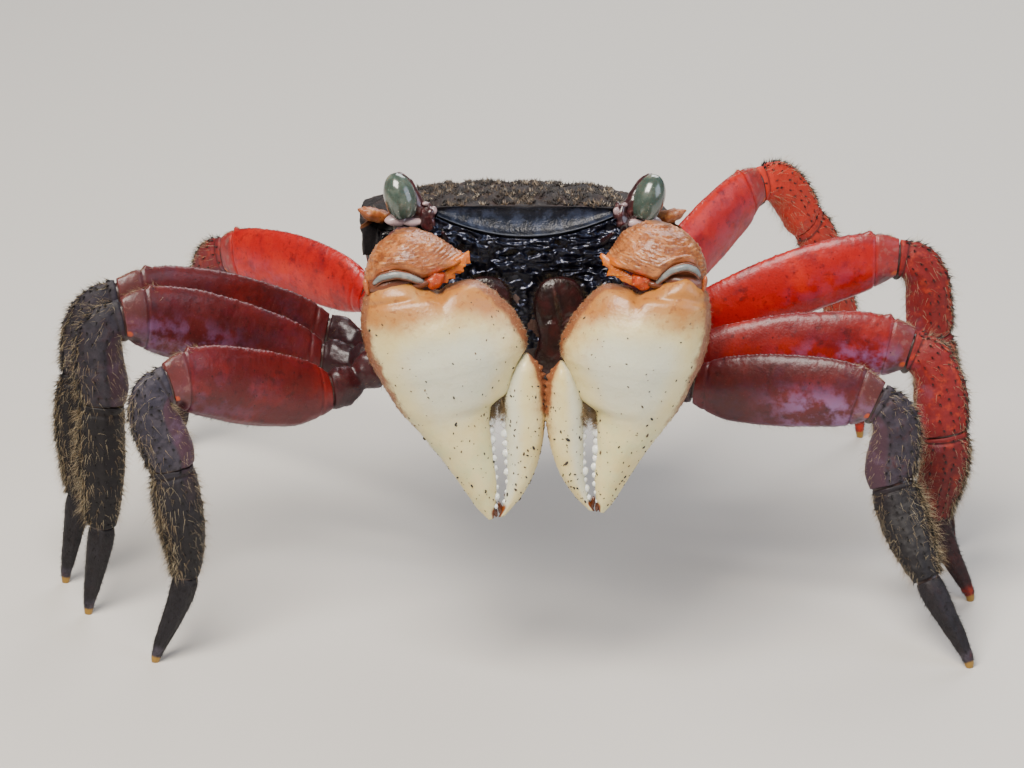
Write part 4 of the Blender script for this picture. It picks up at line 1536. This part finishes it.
def shapeSegment(segment, rings, share, rise, front, tint, sheen, shadow):
    # relief and paint of one leg piece; front is 1 on its forward face and -1 on the rear
    share = share[:, None]
    paints = {"tint": tint}
    if segment == "merus":
        tooth = share * legs["teeth"]
        saw = (1 - np.abs(tooth % 1.0 - 0.5) * 2) * (0.65 + 0.35 * np.sin(np.floor(tooth) * 2.4))
        crest = ease(rise, 0.985, 1.0) * ease(share, 0.05, 0.12) * ease(-share, -0.9, -0.86)
        line = 0.87 + 0.02 * rise
        ring = bell(share, line, 0.008) + 0.7 * bell(share, 0.06, 0.009)
        hollow = bell(share, 0.93, 0.055) * bell(rise, -0.8, 0.3) * ease(front, -0.1, 0.4)
        spine = ease(rise, 0.97, 1.0) * bell(share, 0.865, 0.014)
        keel = (bell(rise, -0.78, 0.06) * ease(front, 0.1, 0.5) * ease(share, 0.1, 0.2)
                * ease(-share, -0.88, -0.78))
        lift = (0.13 * saw * crest - 0.16 * ring - 0.3 * hollow + 0.35 * spine + 0.18 * keel
                + bumps(rings, 3.4, 2) * 0.07 + warts(rings, 0.5) * 0.035 + bumps(rings, 0.7, 2) * 0.025)
        paints.update({
            "rim": np.clip(ease(rise, 0.95, 1.0) * (0.35 + 0.4 * share) + 0.3 * keel * saw, 0, 1),
            "end": ease(share, line - 0.005, line + 0.02),
            "groove": np.clip(0.6 * ring + 0.9 * hollow, 0, 1),
            "soft": sheen * ease(-rise, -0.6, 0.2) * ease(share, 0.25, 0.6) * ease(front, -0.2, 0.5),
            "knob": bell(share, 0.985, 0.03) * bell(rise, -0.45, 0.22) * ease(front, -0.3, 0.3),
        })
    elif segment in ("carpus", "propodus"):
        lower = segment == "propodus"
        soft = ease(-rise, -0.1, 0.35) * (ease(-share, -0.5, -0.1) if lower else 1.0) * (1 - 0.8 * tint)
        ridge = (bell(rise, 0.05, 0.1) + bell(rise, 0.62, 0.08)) * ease(share, 0.02, 0.2)
        lift = (0.14 * ridge + warts(rings, 0.8) * 0.1 * (1 - soft) + bumps(rings, 1.7, 2) * 0.1
                - 0.18 * bell(share, 0.06, 0.015))
        dim = np.clip(0.5 + 0.45 * share, 0, 0.88) if lower else 0.15 * ease(rise, 0.3, 1.0)
        paints.update({"soft": soft, "groove": 0.7 * bell(share, 0.05, 0.02),
                       "dim": dim * (1 - 0.5 * tint) + shadow})
    elif segment == "dactyl":
        turn = np.arctan2(rise, np.sqrt(np.maximum(0, 1 - rise ** 2)) * np.sign(front))
        lift = 0.07 * np.cos(turn * 6) * ease(-share, -0.85, -0.6) + bumps(rings, 1.0, 2) * 0.05
        lift = lift * ease(share, 0.0, 0.02) * ease(-share, -1.0, -0.985)
        paints.update({"horn": ease(share, 0.84, 0.92), "dim": 0.8 * ease(-share, -0.82, -0.7)})
    else:
        lift = bumps(rings, 1.2, 3) * 0.2 - 0.25 * bell(share, 0.5, 0.05)
        paints.update({"groove": 0.8 * bell(share, 0.5, 0.04), "dim": 0.8 * (1 - 0.6 * tint)})
    return rings + ringNormals(rings) * lift[..., None], paints


def tuftRows(rows, spacing, low, high, rise):
    # staggered places between two heights of the section
    places = []
    for j, column in enumerate(np.flatnonzero((rise >= low) & (rise <= high))[::3]):
        for row in np.arange(2 + (j % 2) * spacing / 2, rows - 3, spacing):
            places.append((row + rng.uniform(-0.3, 0.3) * spacing, column + rng.uniform(-0.6, 0.6)))
    return np.array(places)


def growTufts(coat, segment, skin, rise):
    # tufts of stiff dark bristles in rows along the piece, closer along its upper edge
    rows = len(skin["rings"])
    tufts = legs["tufts"]
    step = tufts["step"] / legs["rowLength"][segment]
    centres = tuftRows(rows, step, -0.15, 1.01, rise)
    margin = tuftRows(rows, step * 0.4, 0.85, 1.01, rise)
    if segment == "propodus":
        centres = np.concatenate((centres, tuftRows(rows, step, -1.01, -0.2, rise)[::2]))
    for places, (each, length) in ((centres, tufts["face"]), (margin, tufts["edge"])):
        r, c = np.repeat(places, each, axis=0).T
        count = len(r)
        r, c = r + rng.normal(0, 0.22, count), c + rng.normal(0, 0.13, count)
        length, shade = vary(length, 0.35, count), rng.beta(1.0, 8, count)
        grow(coat, "bristle", skin, r, c, length, tufts["width"], 0.5, shade, 0.1, 0.2)


def furSegment(coats, segment, skin, rise):
    rows, sides = skin["rings"].shape[:2]
    if segment == "dactyl":
        hair = legs["toeHair"]
        count = hair["count"]
        r, c = rng.uniform(1, rows * 0.86, count), rng.uniform(0, sides, count)
        length, shade = vary(hair["length"], 0.4, count) * (1 - 0.5 * r / rows), rng.beta(1.0, 4, count)
        grow(coats["dark"], "bristle", skin, r, c, length, hair["width"], 0.45, shade, 0.1, 0.3)
        return
    if segment in legs["rowLength"]:
        growTufts(coats["dark"], segment, skin, rise)
    for coat, count, reach, column, kind in legs["hairs"][segment]:
        r = rng.uniform(rows * reach[0], rows * reach[1], count)
        c = rng.normal(sides * column[0], column[1], count) if column else rng.uniform(0, sides, count)
        growKind(coats[coat], skin, r, c, kind)


def makeLeg(side, leg):
    points, joints = legChain(side, leg)
    sign = 1.0 if side == "left" else -1.0
    title = f"{side}Leg{leg}"
    coats = {"dark": [], "pale": []}
    scale = legs["breadth"][leg]
    for index, (segment, label) in enumerate(legs["names"].items()):
        near, far = joints[index], joints[index + 1]
        start, stop = points[index] + near[0] * near[1], points[index + 1] - far[0] * far[1]
        shape = [legs[key][segment] for key in ("pull", "profiles", "rows", "sides")]
        rings, share, rise, run = limbRings(start, stop, near, far, scale, *shape)
        upper = index < 2
        tint = legs["redUpper" if upper else "redLower"][side, leg]
        sheen = legs["sheen"].get((side, leg), 0.2)
        shadow = legs["shadow"].get((side, leg), 0.0)
        rings, paints = shapeSegment(segment, rings, share, rise, run * sign, tint, sheen, shadow)
        rings[..., 2] = np.maximum(rings[..., 2], 0.0)
        skin = newSkin()
        addTube(skin, rings, paints)
        material = "meralCuticle" if upper else "lowerCuticle"
        finishPiece(title + label, skin, material, [f"leg{leg}_{side}_{segment}"])
        tile = (0.01 + 0.33 * (index % 3), 0.01 + 0.49 * (index // 3), 0.31, 0.47)
        furSegment(coats, segment, {"rings": rings, "normals": ringNormals(rings), "tile": tile}, rise)
    finishCoat(title + "Bristles", coats["dark"], "darkBristle")
    finishCoat(title + "Hairs", coats["pale"], "paleHair")
    hide = newSkin()
    for (way, _, up), point, size in zip(joints, points, legs["membranes"]):
        up = unit(up - way * (up @ way))
        axes, radii = (up, np.cross(way, up), way), np.array(size) * scale
        addBall(hide, point, axes, radii, 24, {"warm": 0.6, "dim": 0.75}, 0.08)
    finishPiece(title + "Membranes", hide, "jointMembrane")


for side in ("left", "right"):
    for leg in legs["roots"]:
        makeLeg(side, leg)
    print(side, "legs shaped")

# ---- floor, light and camera
studio = {
    "floor": "#cdcac5", "floorHalf": 1.2, "floorRoughness": 0.9,
    "sky": "#dfe3e8", "skyStrength": 0.2, "target": (0, 0, 0.03),
    # place and size in metres, power and colour
    "lamps": {
        "keyLight": ((-0.1, -0.2, 0.4), 0.22, 3.9, "#fff6ea"),
        "fillLight": ((0.34, -0.16, 0.22), 0.25, 0.7, "#dde8ff"),
        "backLight": ((0.1, 0.3, 0.32), 0.25, 1.2, "#ffffff"),
    },
}


def makeStage():
    sheet = bmesh.new()
    bmesh.ops.create_grid(sheet, x_segments=1, y_segments=1, size=studio["floorHalf"])
    mesh = bpy.data.meshes.new("floor")
    sheet.to_mesh(mesh)
    sheet.free()
    matt, shader = blankMaterial("mattFloor")
    shader.inputs["Base Color"].default_value = hexColour(studio["floor"])
    shader.inputs["Roughness"].default_value = studio["floorRoughness"]
    mesh.materials.append(matt)
    floor = setOut("floor", mesh)
    world = bpy.data.worlds.new("studioSky")
    bpy.context.scene.world = world
    world.use_nodes = True
    sky = world.node_tree.nodes["Background"]
    sky.inputs[0].default_value = hexColour(studio["sky"])
    sky.inputs[1].default_value = studio["skyStrength"]
    for name, (place, size, power, tone) in studio["lamps"].items():
        lamp = bpy.data.lights.new(name, "AREA")
        lamp.energy, lamp.size, lamp.color = power, size, hexColour(tone)[:3]
        light = setOut(name, lamp)
        light.location = place
        light.rotation_euler = (Vector(studio["target"]) - light.location).to_track_quat("-Z", "Y").to_euler()


view = {
    "elevation": 25.0, "distance": 520.0, "mmPerPixel": 0.115, "crest": (525.0, 205.0),
    "image": (1024.0, 768.0), "sensor": 36.0,
}


def makeCamera():
    # the middle of the front margin falls on its pixel of the photo, at the photo's scale
    tilt = math.radians(view["elevation"])
    ahead = np.array((0, math.cos(tilt), -math.sin(tilt)))
    above = np.array((0, math.sin(tilt), math.cos(tilt)))
    width, height = view["image"]
    right = (view["crest"][0] - width / 2) * view["mmPerPixel"]
    over = (height / 2 - view["crest"][1]) * view["mmPerPixel"]
    where = body[0] - ahead * view["distance"] - np.array((1.0, 0, 0)) * right - above * over
    camera = setOut("photoCamera", bpy.data.cameras.new("photoCamera"))
    camera.data.sensor_width = view["sensor"]
    camera.data.lens = view["sensor"] * view["distance"] / (width * view["mmPerPixel"])
    camera.data.clip_start = 0.01  # metres
    camera.location = Vector(where) * mm
    camera.rotation_euler = (math.radians(90 - view["elevation"]), 0, 0)
    bpy.context.scene.camera = camera


makeStage()
makeCamera()
print("stage, lights and camera set")
